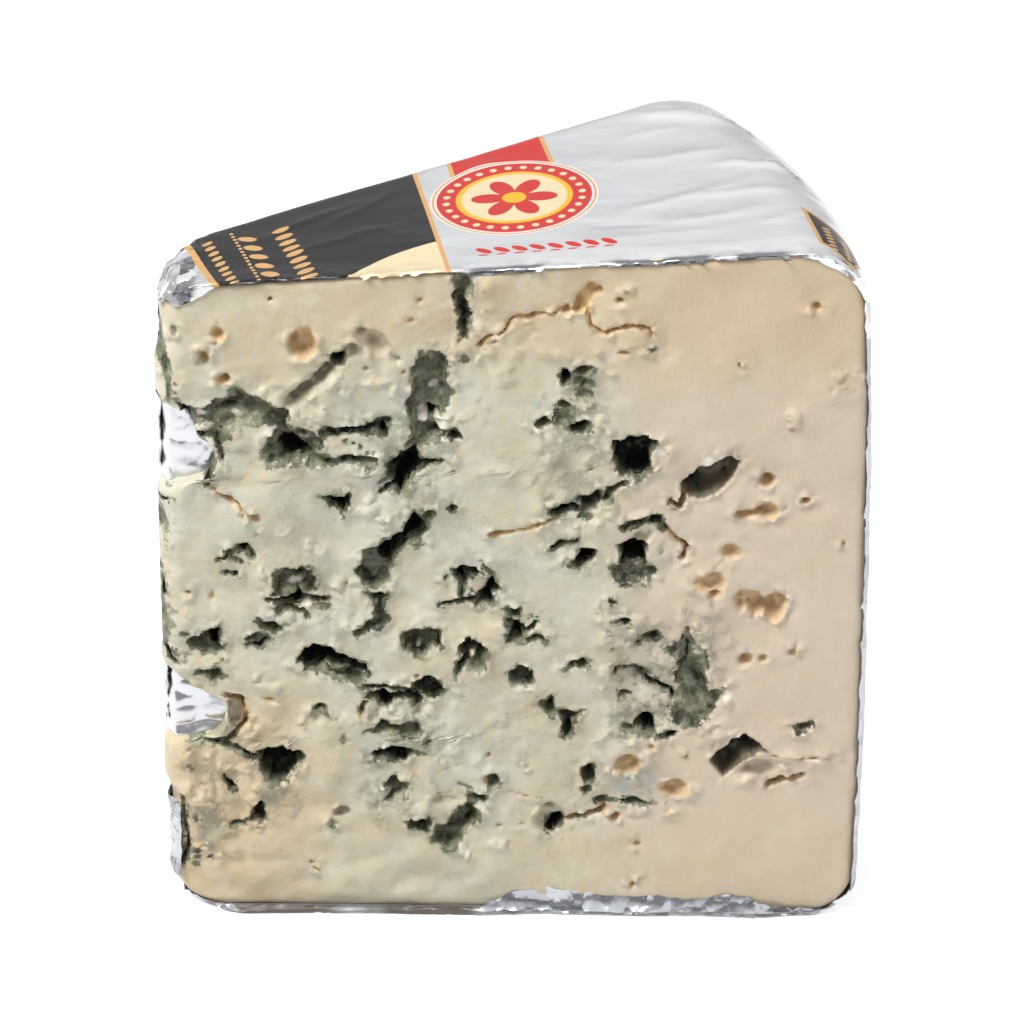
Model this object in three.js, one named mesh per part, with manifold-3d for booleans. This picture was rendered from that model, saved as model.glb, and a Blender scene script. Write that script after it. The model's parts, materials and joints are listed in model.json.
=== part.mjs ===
// A wedge of blue cheese cut from a tall wheel, still in its foil. The cut face in front is
// bare: it shows mould cavities, smooth eyes and cracks. The foil covers the top, the rim, the
// back and the underside, and its loose edges turn round the front edges of the wedge.
//
// Millimetres, +Z up. x runs along the cut face from the blunt nose (left) to the rim (right),
// y goes away from the cut face, which lies in the plane y = 0.

import * as THREE from "three";
import { mergeVertices } from "three/addons/utils/BufferGeometryUtils.js";
import Module from "manifold-3d";

const wasm = await Module();
wasm.setup();

// Driving dimensions of the wedge, measured over the foil
const WHEEL_RADIUS = 100;
const WHEEL_CENTRE = { x: -55.4, y: -7 };
const HEIGHT = 95.9;
const NOSE_DROP = 6.4; // the wedge is this much lower at the nose than at the rim
const NOSE_X = -44.8;
const RIM_X = 44.4;
const NOSE_DEPTH = 12.7;
const BACK_ANGLE = THREE.MathUtils.degToRad(29.3);

// Foil sheet and the gap between it and the cheese
const SHEET = 0.6;
const GAP = 0.3;
const CHEESE_INSET = SHEET + GAP;

// Roundings seen from above, at the four corners of the wedge
const CORNER = { frontRim: 1.2, rimBack: 5, backNose: 8, noseFront: 3.5 };

// Roundings of the top and bottom edges, on each side of the wedge
const SHOULDER_TOP = { front: 0.9, rim: 10, back: 3, nose: 5.5 };
const SHOULDER_BOTTOM = { front: 0.9, rim: 6, back: 3, nose: 5 };
const SHOULDER_STEPS = [0, 0.2, 0.6, 1.3, 2.3, 3.8, 5.7, 7.8, 9.1];

// Points along each stretch of the outline
const CORNER_STEPS = 4;
const RIM_STEPS = 10;
const STRAIGHT_STEPS = 6;

// Relief in the cut face: x, height, half width, half height, depth, turn in degrees
const DARK_CAVITIES = [
  [-21.8, 78.7, 1.2, 1.1, 3, 0],
  [-6.4, 86.4, 0.7, 5.4, 2.5, 0],
  [-10, 78.9, 1.6, 1.5, 2, 0],
  [-10.6, 73.8, 2.1, 3.4, 3.5, 15],
  [-13.2, 64.7, 1.7, 2.2, 3, 0],
  [-33, 70.9, 2.3, 0.8, 1.5, -10],
  [-11.7, 57.4, 1.6, 1.2, 2.5, 20],
  [-17.3, 50.9, 2.1, 3, 4, -10],
  [-21.7, 59.2, 1.8, 1.2, 2, 0],
  [-34.3, 52.5, 1, 0.8, 1.5, 0],
  [-27.5, 45.2, 3.6, 1, 2.5, 5],
  [-39.3, 38.8, 2.1, 1.7, 2, 0],
  [-23.3, 36.4, 4.3, 2, 3, 0],
  [-30, 21.4, 3, 2.7, 3.5, -20],
  [-25, 29.4, 1, 0.9, 1.5, 0],
  [-32.5, 13.2, 1.1, 1.1, 1.5, 0],
  [-3.6, 47.4, 1.3, 2.1, 2.5, 10],
  [0.7, 41.9, 1.9, 1.4, 2, 0],
  [-12, 39.7, 2.7, 2.1, 3.5, 0],
  [-5.2, 36.9, 1.6, 2.4, 2, 0],
  [0.8, 34.4, 1.7, 2, 2.5, 0],
  [-16.5, 31.4, 2.7, 1.2, 2.5, 0],
  [-15.3, 26.9, 3.5, 1, 1.5, 0],
  [-15.7, 22.7, 2.4, 1.2, 1.5, 0],
  [-15.7, 17.6, 1.6, 1.7, 2, 0],
  [-7.7, 12.2, 3.5, 1.7, 2.5, 50],
  [14.5, 66.2, 2.1, 3.2, 5, -15],
  [24.3, 63.2, 3.7, 2.3, 5, 25],
  [6.2, 77.3, 1.2, 0.9, 2, 35],
  [6, 72.4, 1.3, 1.1, 1.2, 0],
  [8.2, 70.4, 1.3, 0.8, 1.5, 0],
  [9.2, 59.8, 2.1, 1.1, 2.5, 15],
  [6, 58.5, 1.6, 0.7, 2, 12],
  [8.3, 52.3, 1.4, 1.5, 3.5, -25],
  [14.7, 52.2, 1.8, 1.3, 4, 0],
  [5.1, 54, 1.7, 0.5, 1.5, 25],
  [16.3, 27.9, 1.6, 1.2, 3, -15],
  [21.6, 35, 2.6, 5.6, 1.2, 8],
  [3.9, 30.2, 1, 0.9, 1.5, 0],
  [6.6, 28.2, 1.2, 1.8, 1.5, 0],
  [4.7, 12.4, 1.3, 1.6, 3, -25],
  [9.2, 20.9, 0.9, 1.3, 1.5, 0],
  [28.3, 23.7, 3.7, 1.9, 6, 35],
  [34.3, 19.6, 2.3, 0.6, 2, 22],
  [36.5, 27.4, 0.9, 0.7, 1.5, 0],
];
const SMOOTH_EYES = [
  [-26.1, 81.3, 1.8, 2.1, 0.9, 0],
  [-17.5, 81.4, 1.8, 1.8, 0.7, 0],
  [-38.6, 78.7, 1, 1.2, 0.9, 0],
  [-36.5, 82.4, 0.8, 1, 0.7, 0],
  [-9, 16.2, 1.8, 0.9, 0.8, 0],
  [-22.2, 14.2, 1.1, 0.7, 1.2, 0],
  [8.3, 88.2, 2.4, 1.1, 0.9, 50],
  [31, 44.9, 3.4, 2.2, 1.3, 0],
  [31.4, 58.5, 1.6, 1, 1, 20],
  [27, 52.6, 1.5, 1, 0.8, 20],
  [24.6, 48.2, 1.9, 1.1, 1.2, -15],
  [31.4, 62.6, 1.1, 0.9, 0.7, 0],
  [14.3, 21.7, 1.8, 1.4, 0.8, 0],
  [20.2, 18.1, 1.9, 1.2, 0.6, 0],
  [30, 37.3, 1.7, 0.8, 0.7, 0],
  [37, 86.9, 0.7, 0.7, 0.6, 0],
];

// Two pieces broken off the nose, which bare the foil behind
const NOSE_CHIPS = [
  [-45.5, 66.9, 7.2, 5.4, 13, 0],
  [-43.8, 27.9, 6, 4.2, 11, 10],
];

// Where the foil ends in front: y of its free edge along the underside, by x
const FLANGE_EDGE = [
  [-60, 1], [-43, 0.5], [-38, -1.2], [-35, -2.2], [-22, -1.9], [-4, -2.1], [4, -1.6],
  [14, -1.9], [24, -1.7], [31, -2.1], [36, -1.3], [41, -1], [60, -1],
];
const FLANGE_TOP = 2.4;
const LIP_Y = -1;
const NOSE_LIP_Y = 4.7;
const NOSE_BARE = { from: 15, to: 84 };

// Where the foil leaves the nose bare, the cheese swells out to the foil's outer face
const NOSE_SWELL = 0.75;
const NOSE_STEP = 0.15;

// Foil folded over the front at the bottom edge and at the top corner of the rim: outline of
// each flap in x and z
const FLAP_BACK = 0.45;
const FLAPS = [
  [[-2.8, 0.2], [33, 0.2], [31, 1.4], [28.5, 1.9], [25, 1.5], [22, 1.3], [17, 1.9], [12, 1.8],
    [7, 2.2], [5, 2.8], [2.5, 2.6], [0, 1.9], [-2, 1.5]],
  [[35.6, 94.9], [36.3, 94.1], [38.4, 92.6], [41.4, 90.9], [42.1, 89.2], [43.1, 87.2],
    [43.8, 87.6], [42.7, 90.4], [41.2, 92.5], [39.1, 94]],
];

// Solid from a three.js geometry
function toSolid(geometry) {
  const bare = geometry.index ? geometry : geometry.clone();
  bare.deleteAttribute("normal");
  bare.deleteAttribute("uv");
  const merged = mergeVertices(bare, 1e-4);
  return new wasm.Manifold(
    new wasm.Mesh({
      numProp: 3,
      vertProperties: new Float32Array(merged.attributes.position.array),
      triVerts: new Uint32Array(merged.index.array),
    })
  );
}

// Geometry of the largest body in a solid, so that no loose crumb is left
function toGeometry(solid) {
  const bodies = solid.decompose().sort((a, b) => b.volume() - a.volume());
  const mesh = bodies[0].getMesh();
  const geometry = new THREE.BufferGeometry();
  geometry.setAttribute("position", new THREE.BufferAttribute(mesh.vertProperties, 3));
  geometry.setIndex(new THREE.BufferAttribute(mesh.triVerts, 1));
  geometry.computeVertexNormals();
  return geometry;
}

// Points of an arc, both ends included
function arc(centre, radius, from, to, steps) {
  const points = [];
  for (let i = 0; i <= steps; i++) {
    const a = from + ((to - from) * i) / steps;
    points.push([centre.x + radius * Math.cos(a), centre.y + radius * Math.sin(a)]);
  }
  return points;
}

// Points between two points, neither end included
function between(a, b, steps) {
  const points = [];
  for (let i = 1; i < steps; i++) {
    const t = i / steps;
    points.push([a[0] + (b[0] - a[0]) * t, a[1] + (b[1] - a[1]) * t]);
  }
  return points;
}

// Outline of the wedge from above, counterclockwise, each side moved inwards by its inset
function planOutline(inset) {
  const c = WHEEL_CENTRE;
  const rimRadius = WHEEL_RADIUS - inset.rim;
  const inward = { x: Math.sin(BACK_ANGLE), y: -Math.cos(BACK_ANGLE) };
  const along = { x: Math.cos(BACK_ANGLE), y: Math.sin(BACK_ANGLE) };
  const backStart = { x: NOSE_X, y: NOSE_DEPTH };

  const r1 = CORNER.frontRim;
  const p1 = { y: inset.front + r1 };
  p1.x = c.x + Math.sqrt((rimRadius - r1) ** 2 - (p1.y - c.y) ** 2);
  const rimStart = Math.atan2(p1.y - c.y, p1.x - c.x);

  const r2 = CORNER.rimBack;
  const base = {
    x: backStart.x + inward.x * (inset.back + r2),
    y: backStart.y + inward.y * (inset.back + r2),
  };
  const toBase = { x: base.x - c.x, y: base.y - c.y };
  const half = toBase.x * along.x + toBase.y * along.y;
  const rest = toBase.x ** 2 + toBase.y ** 2 - (rimRadius - r2) ** 2;
  const reach = -half + Math.sqrt(half * half - rest);
  const p2 = { x: base.x + along.x * reach, y: base.y + along.y * reach };
  const rimEnd = Math.atan2(p2.y - c.y, p2.x - c.x);
  const backNormal = Math.atan2(-inward.y, -inward.x);

  const r3 = CORNER.backNose;
  const p3 = { x: NOSE_X + inset.nose + r3 };
  const backLine = backStart.y + (p3.x - backStart.x) * Math.tan(BACK_ANGLE);
  p3.y = backLine - (inset.back + r3) / Math.cos(BACK_ANGLE);

  const r4 = CORNER.noseFront;
  const p4 = { x: NOSE_X + inset.noseFront + r4, y: inset.front + r4 };
  const noseStep = [NOSE_X + inset.nose, p4.y + NOSE_STEP];

  const frontRim = arc(p1, r1, -Math.PI / 2, rimStart, CORNER_STEPS);
  const rim = arc(c, rimRadius, rimStart, rimEnd, RIM_STEPS).slice(1, -1);
  const rimBack = arc(p2, r2, rimEnd, backNormal, CORNER_STEPS);
  const backNose = arc(p3, r3, backNormal, Math.PI, CORNER_STEPS);
  const noseFront = arc(p4, r4, Math.PI, Math.PI * 1.5, CORNER_STEPS);
  const back = between(rimBack[CORNER_STEPS], backNose[0], STRAIGHT_STEPS);
  const front = between(noseFront[CORNER_STEPS], frontRim[0], STRAIGHT_STEPS);
  return [
    ...frontRim, ...rim, ...rimBack, ...back, ...backNose, noseStep, ...noseFront, ...front,
  ];
}

// How far a side has come in at height z, with its edges rounded at the top and at the bottom
function sideInset(z, low, high, start, topRadius, bottomRadius) {
  const over = Math.max(0, z - (high - topRadius));
  const under = Math.max(0, low + bottomRadius - z);
  const radius = over > 0 ? topRadius : bottomRadius;
  const past = Math.min(Math.max(over, under), radius);
  return start + radius - Math.sqrt(radius * radius - past * past);
}

// 1 where the foil leaves the nose bare, falling to 0 just inside each end of that stretch
function bareNose(z) {
  const inside = Math.min(z - NOSE_BARE.from, NOSE_BARE.to - z);
  return THREE.MathUtils.smoothstep(inside, 1.5, 5);
}

// The wheel has sunk towards the nose, so heights shrink with the distance from the rim
function sunk(x, z) {
  return z * (1 - (NOSE_DROP / HEIGHT) * ((RIM_X - x) / (RIM_X - NOSE_X)));
}

// The wedge as a solid, with its faces moved inwards by inset and its front at y = front
function wedgeSolid(inset, front, roundFront) {
  const low = inset;
  const high = HEIGHT - inset;
  const levels = SHOULDER_STEPS.map((step) => low + step * 0.65);
  levels.push(NOSE_BARE.from + 1.5, NOSE_BARE.from + 5, NOSE_BARE.to - 5, NOSE_BARE.to - 1.5);
  levels.push(...SHOULDER_STEPS.map((step) => high - step).reverse());
  const rings = levels.map((z) => {
    const at = { front };
    for (const side of ["rim", "back", "nose"]) {
      const top = SHOULDER_TOP[side] - inset;
      const bottom = SHOULDER_BOTTOM[side] - inset;
      at[side] = sideInset(z, low, high, inset, top, bottom);
    }
    at.noseFront = at.nose;
    if (roundFront) {
      at.front = sideInset(z, low, high, front, SHOULDER_TOP.front, SHOULDER_BOTTOM.front);
      at.noseFront -= NOSE_SWELL * bareNose(z);
    }
    return planOutline(at).map(([x, y]) => [x, y, sunk(x, z)]);
  });

  const count = rings[0].length;
  const positions = rings.flat(2);
  const index = [];
  for (let r = 0; r + 1 < rings.length; r++) {
    for (let i = 0; i < count; i++) {
      const a = r * count + i;
      const b = r * count + ((i + 1) % count);
      index.push(a, b, b + count, a, b + count, a + count);
    }
  }
  for (const [ring, upwards] of [[0, false], [rings.length - 1, true]]) {
    const centre = positions.length / 3;
    const x = rings[ring].reduce((sum, p) => sum + p[0], 0) / count;
    const y = rings[ring].reduce((sum, p) => sum + p[1], 0) / count;
    positions.push(x, y, sunk(x, levels[ring]));
    for (let i = 0; i < count; i++) {
      const a = ring * count + i;
      const b = ring * count + ((i + 1) % count);
      index.push(centre, upwards ? a : b, upwards ? b : a);
    }
  }
  const geometry = new THREE.BufferGeometry();
  geometry.setAttribute("position", new THREE.Float32BufferAttribute(positions, 3));
  geometry.setIndex(index);
  return toSolid(geometry);
}

// Smooth unevenness between -1 and 1, different for each seed
function uneven(x, y, z, seed) {
  const a = Math.sin(1.9 * x + 2.3 * seed) * Math.cos(1.3 * y - 1.1 * seed);
  const b = Math.sin(2.7 * z + 1.7 * seed + 1.2 * x);
  return 0.6 * a + 0.4 * b;
}

// A lump-shaped cutter for one hollow of the cut face
function hollowSolid([x, z, halfWidth, halfHeight, depth, turn], seed, roughness) {
  const geometry = new THREE.IcosahedronGeometry(1, 2);
  const position = geometry.attributes.position;
  const point = new THREE.Vector3();
  for (let i = 0; i < position.count; i++) {
    point.fromBufferAttribute(position, i);
    const bump = uneven(point.x * 2, point.y * 2, point.z * 2, seed);
    point.multiplyScalar(1 + roughness * bump);
    position.setXYZ(i, point.x, point.y, point.z);
  }
  geometry.scale(halfWidth, depth, halfHeight);
  geometry.rotateY(THREE.MathUtils.degToRad(-turn));
  geometry.translate(x, 0, z);
  return toSolid(geometry);
}

// The cheese, with its hollows and its broken nose
function cheeseGeometry() {
  let solid = wedgeSolid(CHEESE_INSET, 0, true);
  DARK_CAVITIES.forEach((row, i) => {
    solid = solid.subtract(hollowSolid(row, i + 1, 0.24));
  });
  SMOOTH_EYES.forEach((row, i) => {
    solid = solid.subtract(hollowSolid(row, i + 90, 0.06));
  });
  NOSE_CHIPS.forEach((row, i) => {
    solid = solid.subtract(hollowSolid(row, i + 150, 0.16));
  });
  return toGeometry(solid);
}

// y of the underside's free edge at x
function flangeEdge(x) {
  for (let i = 1; i < FLANGE_EDGE.length; i++) {
    const [x0, y0] = FLANGE_EDGE[i - 1];
    const [x1, y1] = FLANGE_EDGE[i];
    if (x <= x1) {
      return y0 + ((y1 - y0) * (x - x0)) / (x1 - x0);
    }
  }
  return FLANGE_EDGE[FLANGE_EDGE.length - 1][1];
}

// y of the foil's free edge anywhere in front
function lipEdge(x, z) {
  if (z < FLANGE_TOP) {
    return flangeEdge(x);
  }
  if (x < NOSE_X + 4 && z > NOSE_BARE.from && z < NOSE_BARE.to) {
    return NOSE_LIP_Y + 0.5 * uneven(0.3, 0.2, z * 0.35, 7);
  }
  return LIP_Y + 0.3 * uneven(x * 0.45, 0.4, z * 0.4, 3);
}

// Everything in front of the foil's free edge
function frontCutter() {
  const front = -20;
  const back = -2;
  const geometry = new THREE.BoxGeometry(100, back - front, 110, 50, 1, 66);
  geometry.translate(0, (front + back) / 2, 50);
  const position = geometry.attributes.position;
  for (let i = 0; i < position.count; i++) {
    if (position.getY(i) > back - 1) {
      position.setY(i, lipEdge(position.getX(i), position.getZ(i)));
    }
  }
  return toSolid(geometry);
}

// One flap of foil standing just in front of the cut face
function flapSolid(outline) {
  const shape = new THREE.Shape(outline.map(([x, z]) => new THREE.Vector2(x, z)));
  const geometry = new THREE.ExtrudeGeometry(shape, { depth: SHEET, bevelEnabled: false });
  geometry.rotateX(Math.PI / 2);
  geometry.translate(0, -FLAP_BACK, 0);
  return toSolid(geometry);
}

// The foil: a thin shell open in front, with its flaps
function foilGeometry() {
  const beyond = -8;
  let solid = wedgeSolid(0, beyond, false).subtract(wedgeSolid(SHEET, beyond - 2, false));
  solid = solid.subtract(frontCutter());
  for (const outline of FLAPS) {
    solid = solid.add(flapSolid(outline));
  }
  return toGeometry(solid);
}

const cheeseMaterial = new THREE.MeshStandardMaterial({
  color: 0xd4c6ac,
  roughness: 0.62,
  metalness: 0,
});
const foilMaterial = new THREE.MeshStandardMaterial({
  color: 0xd7dade,
  roughness: 0.34,
  metalness: 0.9,
});

const cheese = new THREE.Mesh(cheeseGeometry(), cheeseMaterial);
cheese.name = "cheese";
const foil = new THREE.Mesh(foilGeometry(), foilMaterial);
foil.name = "foil_wrap";

// Origin at the middle of the footprint, on the resting plane
const wedge = new THREE.Group();
wedge.add(cheese, foil);
const box = new THREE.Box3().setFromObject(wedge);
wedge.position.set(-(box.min.x + box.max.x) / 2, -(box.min.y + box.max.y) / 2, -box.min.z);
wedge.updateMatrixWorld(true);

export default wedge;
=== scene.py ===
import json
import math

import bpy
import numpy as np
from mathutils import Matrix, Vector

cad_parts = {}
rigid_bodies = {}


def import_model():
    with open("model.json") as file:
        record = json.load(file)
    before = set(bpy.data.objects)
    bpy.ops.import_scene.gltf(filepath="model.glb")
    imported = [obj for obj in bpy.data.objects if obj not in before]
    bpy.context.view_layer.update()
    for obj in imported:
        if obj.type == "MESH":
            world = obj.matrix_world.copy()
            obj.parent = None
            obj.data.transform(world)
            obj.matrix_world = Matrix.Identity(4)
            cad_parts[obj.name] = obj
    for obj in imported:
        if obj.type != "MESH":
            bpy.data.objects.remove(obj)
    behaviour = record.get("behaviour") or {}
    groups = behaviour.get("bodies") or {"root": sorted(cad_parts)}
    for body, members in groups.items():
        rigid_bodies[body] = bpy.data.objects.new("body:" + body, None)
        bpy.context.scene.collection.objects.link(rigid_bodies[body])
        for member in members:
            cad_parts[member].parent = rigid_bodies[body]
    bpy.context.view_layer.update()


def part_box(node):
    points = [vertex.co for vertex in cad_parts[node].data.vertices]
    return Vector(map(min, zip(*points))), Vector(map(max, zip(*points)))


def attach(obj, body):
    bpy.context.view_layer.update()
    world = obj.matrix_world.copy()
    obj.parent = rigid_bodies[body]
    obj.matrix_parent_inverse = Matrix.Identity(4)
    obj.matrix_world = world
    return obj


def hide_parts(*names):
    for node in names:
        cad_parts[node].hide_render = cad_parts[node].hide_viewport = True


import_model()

# A wedge of blue cheese in its printed foil. Lengths are in millimetres in the wedge's own frame:
# x along the cut face from the blunt nose to the rim, y away from the cut face, z up from the
# underside of the foil. They are moved into the shared frame, in metres, when a mesh is made.
MM = 0.001

# Driving dimensions of the wedge over the foil
WHEEL_RADIUS = 100.0
WHEEL_CENTRE = np.array([-55.4, -7.0])
HEIGHT = 95.9
NOSE_DROP = 6.4
NOSE_X, RIM_X = -44.8, 44.4
NOSE_DEPTH = 12.7
BACK_ANGLE = math.radians(29.3)
CHEESE_INSET = 0.9
FLANGE_REACH = 2.2
CORNER = {"front_rim": 1.2, "rim_back": 5.0, "back_nose": 8.0, "nose_front": 3.5}
SHOULDER_TOP = {"front": 0.9, "rim": 10.0, "back": 3.0, "nose": 5.5}
SHOULDER_BOTTOM = {"front": 0.9, "rim": 6.0, "back": 3.0, "nose": 5.0}
RIM_BULGE = 0.5

# The bare nose: its lowest and highest height, how far it swells out, how far back the foil's
# edge lies beside it, how much further at its foot, and where the cheese stands in the foil
NOSE_BARE = (15.0, 88.5)
NOSE_SWELL = 0.75
NOSE_LIP = 4.7
NOSE_FOOT = 3.0
CHEESE_FOOT = 0.35

# The cut face's features are placed by height above the underside of the cheese
FACE_LIFT = 0.9

# Where the wedge's frame lies in the shared frame, from the x of the middle of its footprint
FOOTPRINT_MIDDLE = -0.187
foil_low, foil_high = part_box("foil_wrap")
ORIGIN = np.array([
    (foil_low.x + foil_high.x) / 2 / MM - FOOTPRINT_MIDDLE,
    foil_low.y / MM + FLANGE_REACH,
    foil_low.z / MM,
])


# Smooth noise from seeded lattices

def lattice(ix, iy, iz, seed):
    n = ix * 73856093 + iy * 19349663 + iz * 83492791 + seed * 1013904223
    n = (n ^ (n >> 13)) & 0x7FFFFFFF
    n = (n * 1103515245 + 12345) & 0x7FFFFFFF
    n = ((n ^ (n >> 11)) * 69069 + 1) & 0x7FFFFFFF
    return ((n >> 7) & 0xFFFF) / 65535.0


def noise(x, y, z, seed):
    """Value noise from -1 to 1 with a grain of one unit."""
    x, y, z = np.broadcast_arrays(x, y, z)
    fx, fy, fz = np.floor(x), np.floor(y), np.floor(z)
    tx, ty, tz = x - fx, y - fy, z - fz
    ix, iy, iz = fx.astype(np.int64), fy.astype(np.int64), fz.astype(np.int64)
    sx, sy, sz = (t * t * (3 - 2 * t) for t in (tx, ty, tz))
    total = np.zeros(x.shape)
    for dx, wx in ((0, 1 - sx), (1, sx)):
        for dy, wy in ((0, 1 - sy), (1, sy)):
            for dz, wz in ((0, 1 - sz), (1, sz)):
                total += wx * wy * wz * lattice(ix + dx, iy + dy, iz + dz, seed)
    return 2 * total - 1


def fractal(x, y, z, grain, octaves, seed):
    """Several layers of noise, from about -1 to 1, the coarsest with the given grain in mm."""
    total, weight, full = 0.0, 1.0, 0.0
    for octave in range(octaves):
        step = grain / 2.03 ** octave
        total = total + weight * noise(x / step, y / step, z / step, seed + 17 * octave)
        full += weight
        weight *= 0.5
    return total / full


def creases(x, y, z, grain, seed):
    """Sharp folds: 1 along the crest of a fold, falling to 0 between folds."""
    folded = 1 - np.abs(noise(x / grain, y / grain, z / grain, seed))
    return folded ** 3


def smooth(low, high, value):
    t = np.clip((value - low) / (high - low), 0, 1)
    return t * t * (3 - 2 * t)


# Outline of the wedge and its levels

def arc(centre, radius, start, end, count):
    a = np.linspace(start, end, count)
    return np.stack([centre[0] + radius * np.cos(a), centre[1] + radius * np.sin(a)], 1)


def straight(a, b, count):
    """Points between two points, neither end included."""
    t = np.linspace(0, 1, count + 2)[1:-1, None]
    return np.asarray(a) * (1 - t) + np.asarray(b) * t


def plan_outline(inset, counts, nose_front=CORNER["nose_front"]):
    """Outline from above, counterclockwise from the front rim corner, each side moved inwards."""
    c = WHEEL_CENTRE
    rim = WHEEL_RADIUS - inset["rim"]
    inward = np.array([math.sin(BACK_ANGLE), -math.cos(BACK_ANGLE)])
    along = np.array([math.cos(BACK_ANGLE), math.sin(BACK_ANGLE)])
    back_start = np.array([NOSE_X, NOSE_DEPTH])

    r1 = CORNER["front_rim"]
    y1 = inset["front"] + r1
    p1 = np.array([c[0] + math.sqrt((rim - r1) ** 2 - (y1 - c[1]) ** 2), y1])
    rim_start = math.atan2(p1[1] - c[1], p1[0] - c[0])

    r2 = CORNER["rim_back"]
    base = back_start + inward * (inset["back"] + r2)
    half = float((base - c) @ along)
    reach = -half + math.sqrt(half * half - float((base - c) @ (base - c)) + (rim - r2) ** 2)
    p2 = base + along * reach
    rim_end = math.atan2(p2[1] - c[1], p2[0] - c[0])
    back_normal = math.atan2(-inward[1], -inward[0])

    r3 = CORNER["back_nose"]
    x3 = NOSE_X + inset["nose"] + r3
    back_line = back_start[1] + (x3 - back_start[0]) * math.tan(BACK_ANGLE)
    p3 = np.array([x3, back_line - (inset["back"] + r3) / math.cos(BACK_ANGLE)])

    r4 = nose_front
    p4 = np.array([NOSE_X + inset["nose_front"] + r4, inset["front"] + r4])

    front_rim = arc(p1, r1, -math.pi / 2, rim_start, counts["front_rim"])
    rim_arc = arc(c, rim, rim_start, rim_end, counts["rim"] + 2)[1:-1]
    rim_back = arc(p2, r2, rim_end, back_normal, counts["rim_back"])
    back_nose = arc(p3, r3, back_normal, math.pi, counts["back_nose"])
    nose_front_arc = arc(p4, r4, math.pi, 1.5 * math.pi, counts["nose_front"])
    back = straight(rim_back[-1], back_nose[0], counts["back"])
    nose = straight(back_nose[-1], nose_front_arc[0], counts["nose"])
    front = straight(nose_front_arc[-1], front_rim[0], counts["front"])
    return np.concatenate([
        front_rim, rim_arc, rim_back, back, back_nose, nose, nose_front_arc, front,
    ])


def side_inset(z, low, high, start, top_radius, bottom_radius):
    """How far a side has come in at height z, with its edges rounded."""
    over = max(0.0, z - (high - top_radius))
    under = max(0.0, low + bottom_radius - z)
    radius = top_radius if over > 0 else bottom_radius
    past = min(max(over, under), radius)
    return start + radius - math.sqrt(radius * radius - past * past)


def sunk(x, z):
    """The wheel has sunk towards the nose, so heights shrink with the distance from the rim."""
    return z * (1 - (NOSE_DROP / HEIGHT) * ((RIM_X - x) / (RIM_X - NOSE_X)))


def rim_bulge(x, y, z):
    """How far the front end of the rim swells out at mid-height."""
    return RIM_BULGE * smooth(40.5, 43.3, x) * smooth(14, 4, y) * smooth(6, 26, z) * smooth(88, 66, z)


def side_insets(z, inset, front, front_top, front_bottom):
    """Inset of every side at height z."""
    at = {}
    for side in ("rim", "back", "nose"):
        top, bottom = SHOULDER_TOP[side] - inset, SHOULDER_BOTTOM[side] - inset
        at[side] = side_inset(z, inset, HEIGHT - inset, inset, top, bottom)
    at["front"] = side_inset(z, inset, HEIGHT - inset, front, front_top, front_bottom)
    at["nose_front"] = at["nose"]
    return at


# Closed shells, wrapped round the wedge from the middle of its base to the middle of its top

def deselect():
    if bpy.context.object and bpy.context.object.mode != "OBJECT":
        bpy.ops.object.mode_set(mode="OBJECT")
    bpy.ops.object.select_all(action="DESELECT")


def points_of(mesh):
    flat = np.empty(len(mesh.vertices) * 3)
    mesh.vertices.foreach_get("co", flat)
    return flat.reshape(-1, 3) / MM - ORIGIN


def move_points(mesh, points):
    mesh.vertices.foreach_set("co", ((points + ORIGIN) * MM).ravel())
    mesh.update()


def keep_values(mesh, name, values):
    """Store one number a point for the material to read."""
    layer = mesh.attributes.new(name, "FLOAT", "POINT")
    layer.data.foreach_set("value", np.asarray(values, np.float32))


def read_values(mesh, name):
    values = np.empty(len(mesh.vertices), np.float32)
    mesh.attributes[name].data.foreach_get("value", values)
    return values.astype(float)


def select_faces(mesh, chosen):
    mesh.vertices.foreach_set("select", np.zeros(len(mesh.vertices), bool))
    mesh.edges.foreach_set("select", np.zeros(len(mesh.edges), bool))
    mesh.polygons.foreach_set("select", chosen)


def face_middles(mesh):
    flat = np.empty(len(mesh.polygons) * 3)
    mesh.polygons.foreach_get("center", flat)
    return flat.reshape(-1, 3) / MM - ORIGIN


def wrapped_shell(name, rings):
    """A closed mesh through rings of points, the first round the base and the last the top."""
    levels, around = rings.shape[:2]
    deselect()
    bpy.ops.mesh.primitive_grid_add(x_subdivisions=around, y_subdivisions=levels - 1, size=0.1)
    piece = bpy.context.object
    piece.name = name
    closed = np.concatenate([rings, rings[:, :1]], 1)
    move_points(piece.data, closed.reshape(-1, 3))
    bpy.ops.object.mode_set(mode="EDIT")
    bpy.ops.mesh.select_all(action="SELECT")
    bpy.ops.mesh.remove_doubles(threshold=0.001 * MM)
    bpy.ops.mesh.select_non_manifold(extend=False)
    bpy.ops.mesh.edge_face_add()
    bpy.ops.mesh.select_all(action="SELECT")
    bpy.ops.mesh.normals_make_consistent(inside=False)
    bpy.ops.object.mode_set(mode="OBJECT")
    return piece


def cap_rings(ring, count, last):
    """Rings shrinking from the given one towards its middle."""
    middle = ring.mean(0)
    scales = np.linspace(1, last, count + 1)[1:, None, None]
    return middle + (ring - middle) * scales


def smooth_shading(piece, angle):
    deselect()
    piece.select_set(True)
    bpy.context.view_layer.objects.active = piece
    bpy.ops.object.shade_smooth_by_angle(angle=math.radians(angle))


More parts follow.
